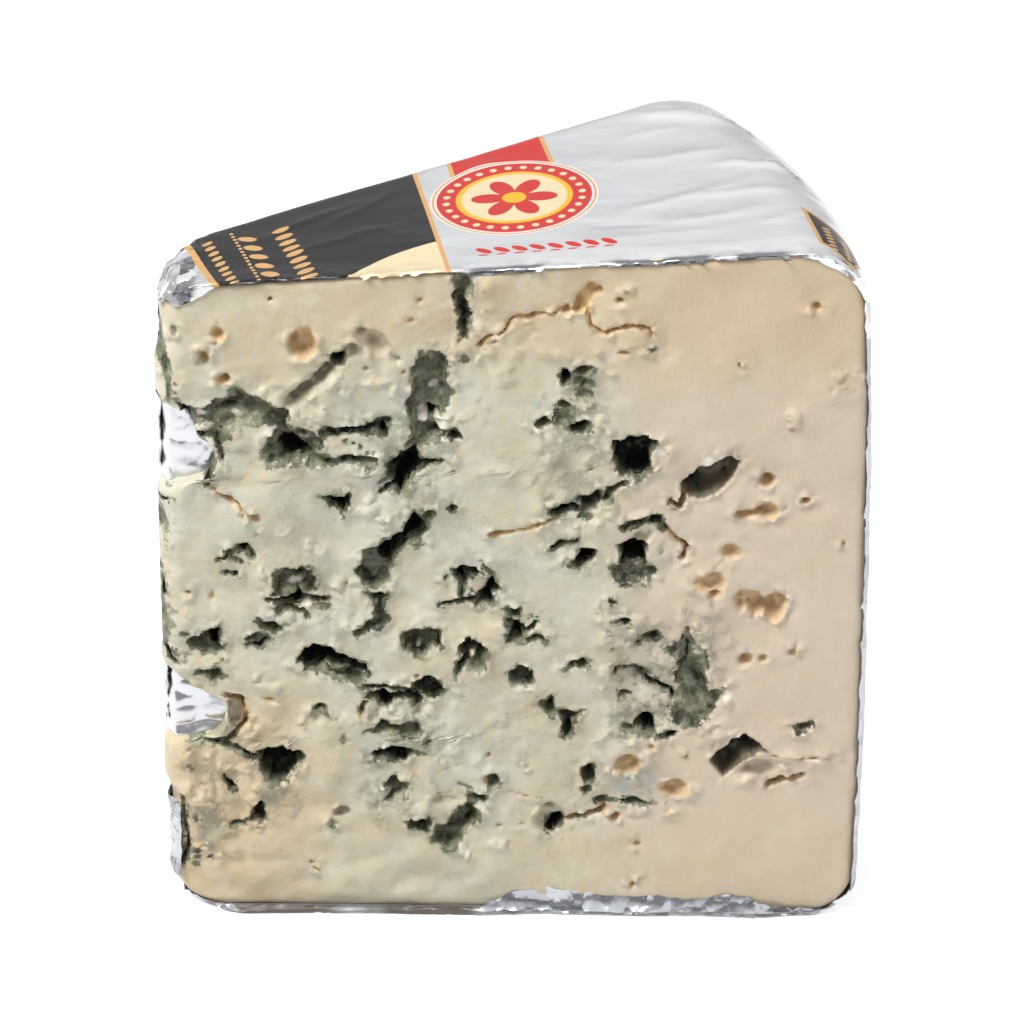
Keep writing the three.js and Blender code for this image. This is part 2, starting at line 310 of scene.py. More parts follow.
# Features of the cut face. Each kind gives: depth into the paste, width of its wall, how ragged
# its outline is, how bowl-shaped it is, and how much of each finish it brings
KINDS = {
    "black": dict(depth=4.2, wall=0.6, ragged=0.45, mould=1.1, core=0.35, grey=1.0, halo=0.5,
                  dip=0.3, lip=0.3),
    "dark": dict(depth=2.4, wall=0.7, ragged=0.5, mould=0.62, core=0.5, grey=1.0, halo=0.45,
                 dip=0.25, patchy=0.9, lip=0.25),
    "mid": dict(depth=1.6, wall=0.7, ragged=0.55, mould=0.36, core=0.7, grey=1.0, halo=0.45,
                dip=0.2, patchy=1.0, lip=0.2),
    "grey": dict(depth=0.9, wall=0.8, ragged=0.55, grey=0.85, halo=0.4, dip=0.25, lip=0.1),
    "soot": dict(depth=1.2, wall=0.3, ragged=0.3, mould=0.75, core=0.2, grey=0.9, halo=0.35,
                 dip=0.25, patchy=0.5, lip=0.15),
    "brown": dict(depth=1.7, wall=0.6, ragged=0.35, mould=0.45, core=0.4, grey=0.45, tan=0.6,
                  halo=0.15, dip=0.3, patchy=0.7, lip=0.12),
    "hollow": dict(depth=3.0, wall=0.7, ragged=0.35, mould=0.4, core=0.9, olive=1.2, grey=0.25,
                   halo=0.25, dip=0.2, patchy=0.9, lip=0.2),
    "chalk": dict(depth=0.5, wall=0.6, ragged=0.5, grey=0.34, pale=0.3, bloom=0.4, halo=0.5, dip=0.1),
    "eye": dict(depth=1.4, wall=1.0, ragged=0.16, tan=0.56, dip=0.06, lip=0.05),
    "pit": dict(depth=0.8, wall=0.6, ragged=0.15, tan=0.5, dip=0.1),
    "crack": dict(depth=0.9, wall=0.4, ragged=0.34, tan=0.7, dip=0.35, narrow=0.22),
    "scoop": dict(depth=1.3, wall=1.2, ragged=0.25, dip=0.2, lip=0.15),
    "olive": dict(depth=0.4, wall=0.5, ragged=0.2, olive=0.7, dip=0.1),
    "speck": dict(depth=0.35, wall=0.35, ragged=0.2, mould=0.6, core=0.15, grey=0.75, halo=0.35,
                  patchy=0.5),
    "haze": dict(depth=0.0, wall=1.2, ragged=0.9, halo=0.75, soft=2.6),
    "bloom": dict(depth=0.0, wall=1.2, ragged=0.9, bloom=0.8, soft=1.6),
    "tint": dict(depth=0.0, wall=1.6, ragged=0.3, olive=0.3),
    "lump": dict(raise_by=1.25, wall=1.3, ragged=0.2, pale=0.12),
    "white": dict(raise_by=0.5, wall=0.6, ragged=0.35, pale=0.7),
    "ash": dict(raise_by=0.5, wall=0.7, ragged=0.4, pale=0.3, grey=0.35),
}

# Oval features: kind, then x, height, width, tallness, turn in degrees
OVALS = [
    ("eye", [
        (-30.1, 86.3, .7, .8, 0), (-36.5, 81.6, 1.7, 2.2, 0), (-26.1, 80.4, 3.8, 4.4, 0),
        (-36, 75.3, 2.2, 1.8, 0), (14.3, 20.8, 3.8, 3, 0), (20.2, 17.2, 4, 2.7, 0),
        (31.4, 61.7, 2.4, 2, 0), (31.5, 57.5, 3.2, 2.4, 0), (36.2, 59, 1.4, 1.1, 0),
        (27, 51.7, 3, 2.2, 0), (24.5, 47.5, 4.2, 2.7, 10), (25, 46, 1.8, 1.4, 0),
        (29, 36.3, 2, 1.9, 0), (31.3, 36.5, 1.4, 1.3, 0), (12.8, 12.8, 1.6, 1.3, 0),
        (11.3, 14, 1.3, 1.6, 0), (37, 86, 1.5, 1.5, 0), (-3.3, 18.3, 1.6, 2, 0),
        (13.4, 79.6, 1.7, .7, 0), (13, 86.8, 1.1, .9, 0), (6.3, 85.2, 1.6, 1.5, 0),
    ]),
    ("pit", [
        (-11.6, 86.4, 1, .9, 0), (-12.7, 83.7, 1.1, .9, 0), (-18.4, 76.9, 1, .9, 0),
        (-17.3, 75.5, 1.3, 1, 0), (-13.7, 76.5, .8, .7, 0), (-41, 44.7, .9, 1, 0),
        (-38, 44.3, 1, 1.8, 0), (-21.2, 46.3, 1.6, .6, 0), (-31, 29.8, 2, .9, 0),
        (13.8, 88, .8, .7, 0), (-7.6, 62.7, .7, .7, 0), (-2.4, 80.7, .9, .8, 0),
        (17.3, 23.3, 1, 1, 0), (19.5, 13.7, .9, .8, 0), (15.7, 8.8, 1.1, .8, 0),
        (15.2, 3, 1, 1.2, 0), (21.8, 21.8, .6, .6, 0), (41, 53, .6, .6, 0),
        (34.2, 69.2, .9, 1.1, 0), (12.3, 37.5, .9, .8, 0), (-32.3, 56, 1.5, 1.7, 0),
        (-32.2, 53.5, 1, .9, 0), (9.5, 63.3, .8, .8, 0), (-5.3, 15.7, 2.2, 1.2, 0),
        (3.7, 29.3, 1.5, 1.3, 0), (35, 37.5, 1.6, 1.2, 0), (-3.3, 21.9, .9, .9, 0),
        (1.7, 20.2, .9, .9, 0), (-25.5, 4.8, 1, .8, 0), (-26, 5.7, .8, .7, 0),
        (-2, 11.5, 1, .5, 20), (1, 11.7, .9, .5, 0), (-2.2, 9.1, 1.1, .5, 0),
        (-41.3, 22.2, .8, .6, 0), (-37.7, 18.5, .9, .7, 0), (-36.8, 16.2, 1.5, 1, 0),
    ]),
    # The tall olive oval at x -35.2 paints the shade on a shaded wall beside the lower break of the
    # nose
    ("olive", [
        (-42, 81.8, 1, 1.3, 0), (-21.7, 24.2, .8, 2, 0), (-22.2, 13.3, 2.3, 1.6, 0),
        (27.7, 78.2, .7, .7, 0), (-12.3, 33.5, .8, .7, 0), (-4.2, 50, 1.2, .5, 0),
        (-42, 74.3, .9, .8, 0), (-42, 73, .8, .8, 0), (-35.2, 27.5, 2.4, 4.5, 10),
    ]),
    ("speck", [
        (-21, 66.8, .7, .6, 0), (-20, 66.5, .7, .6, 0), (-19, 66, .7, .6, 0),
        (-18, 65.2, .8, .6, 0), (-19.8, 63.5, .8, .6, 0), (-18.3, 63.2, .7, .6, 0),
        (-17.3, 64.3, .6, .7, 0), (-21.5, 59.3, .7, .6, 0), (-21.4, 56.3, .7, .6, 0),
        (-36.5, 50.5, 1.2, .8, 0), (-34.5, 49.8, 1, .8, 0), (-36, 48.2, 1, .6, 0),
        (-43, 60, 1, .9, 0), (-42.8, 58.5, .9, .8, 0), (-43.3, 41.7, 1.1, .8, 0),
        (-43.4, 40.3, 1.1, .8, 0), (-41.7, 39, .9, .7, 0), (-42.9, 36.2, 1, .7, 0),
        (-41.5, 35.8, .9, .7, 0), (-42.3, 31.5, 1.1, .9, 0), (-41.5, 19.5, .9, .7, 0),
        (-40.5, 15.5, .8, .7, 0), (-42, 14, .8, .7, 0), (-40.5, 12.3, .8, .7, 0),
        (-42.3, 9, .8, .7, 0), (-42, 7.3, .8, .7, 0), (-40.5, 6.3, .9, .7, 0),
        (-40.8, 5.3, .8, .7, 0), (-23.3, 11.5, .9, .8, 0), (-8.7, 47.6, .8, .8, 0),
        (-3, 48, .8, .7, 0), (-2.3, 46.8, .7, .7, 0), (-3, 44, .9, .7, 0),
        (-4.4, 44.8, .8, .7, 0), (-5.5, 45.7, .8, .7, 0), (2.2, 41.8, 1.6, .8, 0),
        (2, 39.3, 2.2, .8, 0), (-.5, 39.6, 1.2, .7, 0), (1, 40.7, .8, .7, 0),
        (-18.3, 45, .8, .7, 0), (-17, 44.7, .8, .7, 0), (-15.8, 44.8, .8, .7, 0),
        (-11, 32.3, 2, 1.5, 0), (-9.7, 32.3, 1, 1, 0), (-10.8, 24.2, .9, .9, 0),
        (17, 80, 1.2, .9, 0), (-6, 78.2, 1.2, 1.1, 0), (-10.5, 79, 1.4, 1.2, 0),
        (-27.2, 45.6, .9, .5, 0), (-29, 46.2, .9, .6, 0), (14, 26.5, 1.2, .8, 0),
        (-12.5, 22.2, 1.4, .5, 0), (14, 47, 1.4, 1, 0), (-12, 52, 1.6, .9, 0),
    ]),
    ("black", [
        (-21.9, 78.3, 2.2, 1.9, -20), (6.2, 76.2, 1.8, 1.8, 0), (-10.3, 70.4, 2.2, 1.4, 0),
        (-34, 51.5, 1.5, 1.1, 0), (8.2, 69.4, 2.6, 1.5, 10), (5, 11.5, 1.7, 2.3, -20),
        (-16.3, 68.3, 1.3, 1, 0),
    ]),
    ("mid", [
        (-10, 77.6, 2.8, 3.8, 10), (-12, 38.6, 4.6, 3.8, 0), (-5, 35.8, 3, 4, 0),
        (-2.8, 18.5, 1.5, 2.2, 0), (-4.6, 15.9, 2, 1.3, 0),
    ]),
    ("dark", [
        (9.5, 59, 4, 2.3, 25), (8, 35.4, 2.8, 1.4, 10), (.9, 33.3, 3, 3.4, 0),
        (9.3, 19.4, 1.8, 2.4, 0), (-9.8, 68.2, 3, 1.5, 0), (-7.5, 68, 1.4, 1.5, 0),
        (-12.7, 30.3, 1.7, 1.2, 0), (6, 72, 2.1, 1.2, 0), (3.5, 70, 1.6, 1.3, 0),
        (36.5, 26.5, 1.8, 1.3, 0), (13.7, 41.8, 1.7, .8, 0), (17, 39.5, 2, 1.1, 10),
        (9, 17, 1.2, 1.1, 0), (11, 15.2, 1.2, 1, 0), (-.5, 41.4, 1.4, 1.1, 0),
        (15, 15, 4.6, .7, 0), (8.7, 77.2, 2.3, 1, 10), (-7.6, 57.6, .8, .7, 0),
        (12.2, 44.6, .7, .6, 0), (-35.8, 51.2, 1, .9, 0),
    ]),
    ("grey", [
        (15, 49, 5.4, 3.6, 0), (8.5, 73.8, 2.6, 1.8, 0), (6, 70.6, 3, 2.2, 0),
        (9, 56.8, 3, 1.6, 0), (-24.4, 43, 1.6, 1, 0), (8.7, 75.6, 2.4, 2.4, 0),
        (-44, 54.5, 1.3, 5, 0), (-44.2, 40, 1.3, 6, 0), (-32, 38, 2.8, 1.7, 0),
        (8.3, 50, 3, 1.4, 0), (-43.4, 77, 1.3, 8, 10), (-14.4, 62.4, 3.4, 4, 0),
    ]),
    ("scoop", [
        (-17, 80.4, 4, 3, -20), (-20, 79.5, 2.8, 2.4, 0), (-9, 15.2, 3.8, 1.5, 0),
        (4.5, 12.6, 3.9, 4.6, 0), (16, 53.6, 4, 2.4, 30), (-38.4, 78, 2.2, 2.6, 0),
        (-25, 27.6, 2.2, 2.2, 0), (-12.4, 28.6, 2.4, 2.6, 0), (32.5, 44, 3, 3, 0),
        (15.5, 33.8, 4, 2.2, 10), (31, 20.4, 6, 3, 10),
    ]),
    ("haze", [
        (-6.2, 74.5, 1.6, 9, 0), (-3.7, 83.1, 1, 2, 20), (-1.3, 22, 2.6, 2, 0),
        (-1.2, 26.3, 2.2, 1.8, 0), (-6.2, 30.3, 2.2, 1.8, 0), (-1.8, 78.5, 2.6, .6, 0),
        (-1, 75.9, 1.4, .7, 0), (1.5, 71, 1.3, 1.3, 0), (18.5, 36, 4, 7, 0),
        (-2, 62.5, 1.6, 1.2, 0), (-36, 65, 5, 5, 0), (12, 60, 4, 4, 0),
        (15.2, 18.5, 8, 8, 0), (-30, 43.4, 5, 3, 0),
    ]),
    ("bloom", [(8.7, 76.2, 5, 6, 0), (9, 57, 5, 4, 0), (2.6, 71, 3, 3, 0), (-3, 78, 4, 4, 0),
               (.5, 41, 5, 4, 0), (16, 17, 8, 7, 0)]),
    ("tint", [(34, 70.7, 2, 1.6, 0), (40.8, 75.5, 3, 3, 0), (-42, 34, 3, 14, 0)]),
    ("lump", [
        (-21, 72, 12, 10, 10), (-30.8, 72.6, 4.4, 4.2, 0), (-31.5, 67.4, 3.2, 4, 0),
        (-17, 57, 5.2, 4.6, 0), (-34.2, 50.9, 2, 1.4, 0), (-4.8, 47.3, 2.4, 1.9, 0),
        (-14, 28.8, 3.6, 3, 0), (-9.5, 11.3, 2.6, 3, 0), (-12, 13, 2.2, 2, 0),
        (-37.5, 18.6, 10, 6, -15), (-37, 14, 4.4, 2.6, 0), (5.2, 75.4, 1.6, 1.4, 0),
        (18.4, 53, 4.4, 3.6, 20), (-8, 24, 5, 3.4, 0), (-38, 27, .8, .8, 0),
        (-26.8, 52, 5, 4, 0), (-24, 40, 4.2, 2.2, 15), (-30, 33, 5, 3, 0),
    ]),
    ("white", [
        (16.8, 31.2, 3, 1.2, -25), (23.2, 36.9, 1.3, .7, 0), (26.9, 31, 1.3, 1.3, 0),
        (-13.4, 74, 1, 1.3, 0), (-10.2, 73.6, 1.4, 1.1, 0),
        (-11.4, 70, 1.3, 1.5, 0), (-34.6, 70.2, 1.6, 1, 0), (-30.6, 68.2, 1.3, 1.2, 0),
        (-38.9, 70.3, 1.4, 1.2, 0), (-27.6, 46.3, 1.8, 1, 0), (-26, 43.4, 1.4, .8, 0),
        (-9.2, 69.6, 1.6, 1.7, 0), (14, 61.6, 2.1, 1.5, 20), (8.5, 70.6, 1.8, .9, 0),
        (7.5, 58.2, 1.5, 1, 0), (7, 56.8, 1.1, .8, 0), (22.7, 37.7, 1, .7, 0),
        (-29, 48.7, 1.3, .8, 0), (-26, 48, 1.1, .7, 0), (-4.3, 14.3, 1.7, 1.2, 0),
        (-6.5, 7.8, 1.6, 2.2, 0), (18, 66, 1.6, 1.2, 0),
        (24.5, 64.9, 3.4, 1.1, 25), (5.4, 55.8, 1, .7, 0),
    ]),
    ("haze", [(-39.6, 7, 3.6, 3, 0)]),
    ("chalk", [(13.8, 40.7, 2.3, 1.4, 0)]),
    ("speck", [(-40.6, 7.2, 1.1, .7, 0), (-39, 6.2, .8, .6, 0)]),
    ("ash", [
        (-9.8, 67.2, 2.8, 1.5, 0), (-9.5, 72.6, 2, 1.6, 0), (-11.6, 72, 1.6, 1.8, 0),
        (22, 28.6, 2.4, 1.6, 30), (-38, 69.3, 3.8, 2.4, 0),
        (-27.2, 46.7, 1.8, 1.3, 0), (-25.8, 43.8, 2.2, 1, 0),
        (-5.2, 36.6, 1.6, 1.6, 0), (17.4, 64, 1.2, 1.2, 0), (-12.1, 38, 1.5, 1, 0),
    ]),
]

# Features with a drawn outline: kind and corners in x and height
PATCHES = [
    ("grey", [(-42, 71.7), (-38.6, 71), (-34.6, 74.3), (-31.2, 72.3), (-28.4, 71.1),
              (-26.7, 67.8), (-24.2, 67.2), (-24.6, 64), (-30.7, 63), (-31.4, 65.9),
              (-29.5, 68.5), (-32.4, 69.1), (-34.6, 69.1), (-36.7, 65.3), (-37.9, 68.5),
              (-41.4, 68.5)]),
    ("mid", [(-37.6, 71), (-34.8, 73.2), (-31.4, 71.9), (-28.6, 70.6), (-26.9, 67.4),
             (-25, 66.4), (-25.4, 64.4), (-30.2, 63.4), (-30.9, 65.9), (-29, 68.9),
             (-33, 70.2)]),
    ("black", [(-29.3, 66.8), (-27.4, 67.6), (-25.2, 65.2), (-25.4, 64.6), (-28.6, 64.2)]),
    ("mid", [(-7.3, 91.2), (-5.6, 91.2), (-5.4, 85), (-5.7, 80.8), (-6.6, 80.4), (-7.2, 84)]),
    ("mid", [(-13.2, 75.4), (-12, 78), (-8.4, 77.6), (-8.8, 74.8), (-7.7, 73.3), (-8.3, 71.5),
              (-9.5, 70.2), (-9.2, 67), (-13.2, 66), (-12.8, 70), (-13.4, 72), (-12.5, 73.5)]),
    ("black", [(-15.2, 63.5), (-14, 65.1), (-12.3, 66.2), (-11.8, 64.5), (-9, 64.2),
               (-10.4, 63.5), (-12.2, 62.4), (-13.4, 60.3), (-14.2, 58.7), (-14.9, 59.8),
               (-16.9, 60.1), (-15, 61.2)]),
    ("mid", [(-12.7, 57.4), (-10.2, 57), (-10.2, 55), (-11.5, 53.6), (-12.8, 52.4),
             (-14.4, 51.6), (-15, 50), (-15.3, 47.6), (-15.9, 46.4), (-17.1, 45.9),
             (-19.1, 46.7), (-19.7, 48), (-19.4, 50), (-19.4, 51.2), (-18.1, 51.7),
             (-16.5, 52.5), (-15.5, 53.5), (-14, 54), (-13.7, 55)]),
    ("black", [(-19.1, 51.2), (-16.6, 52.3), (-15.4, 53.4), (-13.8, 54), (-13.4, 55.4),
               (-12.4, 56.6), (-11.4, 55.2), (-12.2, 53.2), (-14.5, 51.6), (-15.5, 49.4),
               (-16.5, 49.6), (-17.3, 50.8)]),
    ("dark", [(-18.1, 44.8), (-16.7, 45.1), (-15.5, 44.4), (-16.9, 43.8), (-18, 43.9)]),
    ("black", [(-24, 59), (-20.3, 59.2), (-20.8, 57.8), (-21.5, 56.6), (-22.6, 57.8)]),
    ("mid", [(-29.8, 46.8), (-29.4, 48.3), (-27.1, 48.7), (-25.1, 47.8), (-25.2, 45.6), (-27.2, 45.2),
             (-30.6, 45)]),
    ("dark", [(-29.4, 47.2), (-28.8, 48), (-26.7, 48), (-25.3, 47.4), (-27.2, 46.9)]),
    ("black", [(-31, 44), (-28.8, 45), (-26.5, 45.2), (-25.2, 44.6), (-23.4, 44), (-24.8, 43.4),
               (-27.2, 43.6), (-29.2, 43.4)]),
    ("mid", [(-30.2, 43.4), (-27, 43.6), (-26.2, 42.6), (-25.8, 41.2), (-26.7, 41.6),
             (-27.6, 42.5), (-29.9, 42.5)]),
    ("dark", [(-32.4, 41.3), (-31.5, 40.6), (-29.9, 40.5), (-28.9, 40), (-30.3, 39.5),
              (-31.8, 39.9)]),
    ("mid", [(-41.7, 37), (-40, 38.8), (-38.6, 39.6), (-37.1, 39.6), (-36.9, 36.4),
             (-38.7, 35.9), (-40.5, 36.3)]),
    ("black", [(-39.6, 38.5), (-38.2, 39.5), (-37.1, 39.3), (-37, 36.8), (-38.4, 36.7),
               (-38.9, 38)]),
    ("mid", [(-40.7, 33.4), (-38.9, 34), (-37.1, 34.7), (-36.7, 33), (-38.1, 32.1),
             (-39.1, 32.9)]),
    ("black", [(-27.5, 35.1), (-25.9, 37), (-24.3, 37.4), (-23.1, 37.5), (-21.9, 36.3),
               (-19.8, 35.1), (-18.5, 34.9), (-18.3, 33.7), (-20.3, 33.4), (-21.7, 34.2),
               (-24.3, 34.3), (-25.9, 34.2)]),
    ("mid", [(-25.7, 34.4), (-21.7, 34.3), (-18.8, 33.6), (-19.5, 31.6), (-20.9, 32.4),
             (-22.7, 33), (-24.7, 33.6)]),
    ("black", [(-33.1, 21.9), (-31.6, 22.4), (-28.9, 22.8), (-27.5, 22.1), (-26.7, 21.3),
               (-27.5, 20.1), (-28.8, 17.8), (-30.5, 17.2), (-32, 19)]),
    ("dark", [(-34.2, 12), (-33, 13.6), (-32.3, 14.9), (-31.1, 12.1), (-32.4, 11.7)]),
    ("soot", [(-37.5, 19.5), (-36.6, 18), (-35, 16.3), (-36.5, 16.5)]),
    ("dark", [(-26.1, 27.6), (-25.5, 29.3), (-24, 29.3), (-23.4, 27.8), (-24.2, 28.3),
              (-25.2, 28.3)]),
    ("black", [(-7.9, 48.8), (-5, 48.8), (-4, 47.9), (-6, 47.1), (-6.3, 46), (-7.1, 47.2)]),
    ("black", [(-2.9, 48), (-1.8, 46), (-2.7, 45), (-2.6, 43.5), (-4.7, 43.5), (-4.2, 44.6),
               (-4.6, 45.2), (-3.2, 46.2)]),
    ("mid", [(-1.4, 43.2), (-.6, 43.6), (.8, 43.2), (.6, 42.2), (-.6, 42)]),
    ("dark", [(-.8, 41.9), (.5, 42.1), (1.1, 40.9), (3.2, 41.6), (2.3, 40.5), (1.3, 40),
              (1.3, 39.3), (3.6, 39), (3.5, 38.3), (1, 38.4), (-.9, 38.8), (0, 40)]),
    ("dark", [(-14.3, 39.6), (-12.1, 40.6), (-9.5, 39.6), (-9.3, 37.4), (-11.7, 38.4),
              (-13, 37.4), (-14.2, 37.2)]),
    ("soot", [(-6.6, 86), (-6, 86), (-5.9, 81.4), (-6.4, 81)]),
    ("dark", [(-6.8, 38.2), (-5.2, 38.6), (-3.6, 37.4), (-4.1, 35.8), (-5.6, 37), (-6.2, 34.6),
              (-7.4, 33)]),
    ("black", [(-18.7, 30.4), (-15.9, 28.7), (-15.4, 30), (-13.2, 29.8), (-12.4, 29.2),
               (-11.8, 30.8), (-14.2, 31), (-16.8, 31)]),
    ("dark", [(-13.2, 31.6), (-11.4, 33.5), (-9.7, 33.2), (-8.9, 31.6), (-9.7, 30), (-10.8, 30.6),
              (-12.6, 30.8)]),
    ("mid", [(-18.7, 25.2), (-16.7, 27.1), (-15.7, 26.5), (-14.2, 26.6), (-12.4, 27.2),
             (-11.1, 25.1), (-13.2, 24.9)]),
    ("soot", [(-17.1, 26.4), (-16.3, 27), (-15.5, 26), (-13.4, 26.4), (-12.4, 26.9), (-12.6, 25.8),
              (-15.3, 25.6)]),
    ("black", [(-18.4, 21.8), (-15.9, 23), (-13.7, 22.9), (-12.9, 22.2), (-13.9, 20.9),
               (-15.1, 20.4), (-16.5, 20.9)]),
    ("mid", [(-15.6, 19.1), (-14.8, 17.9), (-13.2, 17.4), (-13.8, 16.1), (-15.1, 15.1),
             (-16.2, 15), (-16.1, 16.3), (-17.1, 16.8), (-16.3, 17.8)]),
    ("mid", [(-6.9, 14.3), (-5.1, 15), (-4.8, 12.6), (-6.2, 10.4), (-6.6, 8.6), (-8.8, 7.9),
             (-10.5, 9.4), (-10.2, 11.4), (-8.8, 11.2), (-8.2, 13)]),
    ("soot", [(-6.8, 14), (-5.2, 14.8), (-5, 12.8), (-5.9, 11.4), (-7, 12.6)]),
    ("dark", [(-13.5, 11.8), (-12.5, 12.5), (-11, 12.3), (-11.3, 11), (-12.6, 11)]),
    ("dark", [(3.1, 28.8), (4.5, 30.4), (5, 29), (5.5, 28.4), (4.3, 27.9)]),
    ("dark", [(5.6, 28.6), (8.6, 28.5), (7.8, 27.7), (7.1, 27.3), (7.3, 25.2), (6.6, 24.4),
              (5.6, 25.6), (6, 27.4)]),
    ("black", [(12.2, 67.2), (14.2, 67.8), (16, 68.1), (17.8, 67.6), (17, 66.2), (16.8, 63),
               (15.6, 62), (13.6, 62.6), (12.4, 64.6)]),
    ("hollow", [(21, 59.6), (20.6, 61.2), (22.4, 63.2), (24.6, 64.4), (26.8, 65.2), (28, 64.2),
                (27.2, 61.8), (25.6, 60.4), (23.4, 59.4)]),
    ("soot", [(21.4, 60.4), (21.6, 62), (23.4, 63.4), (24.2, 63.2), (22.8, 61.8), (22.6, 60.2)]),
    ("black", [(4.4, 57.2), (5.6, 58.4), (7.6, 58.3), (8, 57.2), (6.4, 56.8), (5, 56.6)]),
    ("black", [(7.3, 50.2), (8.1, 52), (10.3, 52.2), (10.1, 50.9), (9.2, 49.7), (8.4, 49.2)]),
    ("black", [(3.9, 51.8), (5.3, 53), (6.7, 52.7), (5, 51.8)]),
    ("black", [(13, 52.4), (14.6, 52.9), (16.6, 52.3), (16.5, 50.2), (15.2, 49.8), (13.2, 50.1)]),
    ("grey", [(18.7, 38.3), (20.2, 38.6), (21.3, 41.1), (22.4, 38.8), (24, 37.4), (24.2, 32),
              (26.6, 31.9), (26.4, 30.4), (25, 28.5), (23.3, 26.3), (20.5, 25.4), (20.2, 28.5),
              (20.1, 31), (21, 32.2), (19.7, 34.2), (21, 36), (19.1, 37.2)]),
    ("chalk", [(12.6, 33.6), (14.6, 34.2), (17, 32.6), (19.6, 31), (20.2, 29.5), (20, 27),
               (18.6, 25.4), (15.6, 25.8), (14, 27.4), (13, 30.4)]),
    ("black", [(15, 25.6), (15.8, 27.3), (17.3, 27.5), (17.7, 25.8), (18.2, 24.8), (16.6, 25)]),
    ("mid", [(22.2, 36), (23.6, 36), (23.9, 32.4), (22.6, 31.8), (21.8, 33.4)]),
    ("soot", [(13, 31.2), (14, 31.2), (15, 30.3), (14.2, 30), (13.3, 30.4)]),
    ("hollow", [(25, 21.4), (26.5, 23.6), (28.5, 25.1), (29.6, 25.4), (32.2, 22.9), (29.8, 22.7),
                (28.5, 21), (27.8, 20.4), (26.7, 18.9), (25.7, 19.7)]),
    ("soot", [(26, 21.2), (27.6, 23.6), (29.4, 24.8), (31, 23.4), (29, 22.6), (27.2, 20.4)]),
    ("eye", [(27.2, 45.4), (28.4, 46.6), (30.4, 46.3), (31.4, 45), (32.8, 46), (34.4, 45),
             (33.8, 42.8), (32.4, 41.4), (31.2, 43), (30, 42.4), (29, 43.8), (28, 43)]),
    ("crack", [(6.4, 85.2), (7.4, 87.4), (9, 89.2), (10.6, 88.8), (11.6, 87.4), (9.8, 86.8),
               (9.2, 85), (8, 84.6)]),
    ("eye", [(-39.6, 79.2), (-37.4, 79.2), (-38.2, 76.8)]),
    ("haze", [(-20, 66), (-9, 82), (-6, 82), (-6, 66), (-9, 58), (-16, 56)]),
    ("haze", [(3, 79), (11, 79), (12, 68), (10, 54), (3, 55), (3, 68)]),
    ("haze", [(11, 44), (27, 44), (28, 24), (11, 24)]),
    ("haze", [(-20, 30), (-10, 34), (-8, 24), (-12, 12), (-20, 12)]),
    ("haze", [(-31, 50), (-22, 50), (-21, 40), (-31, 40)]),
    ("haze", [(-42, 30), (-26, 24), (-26, 14), (-42, 4)]),
]

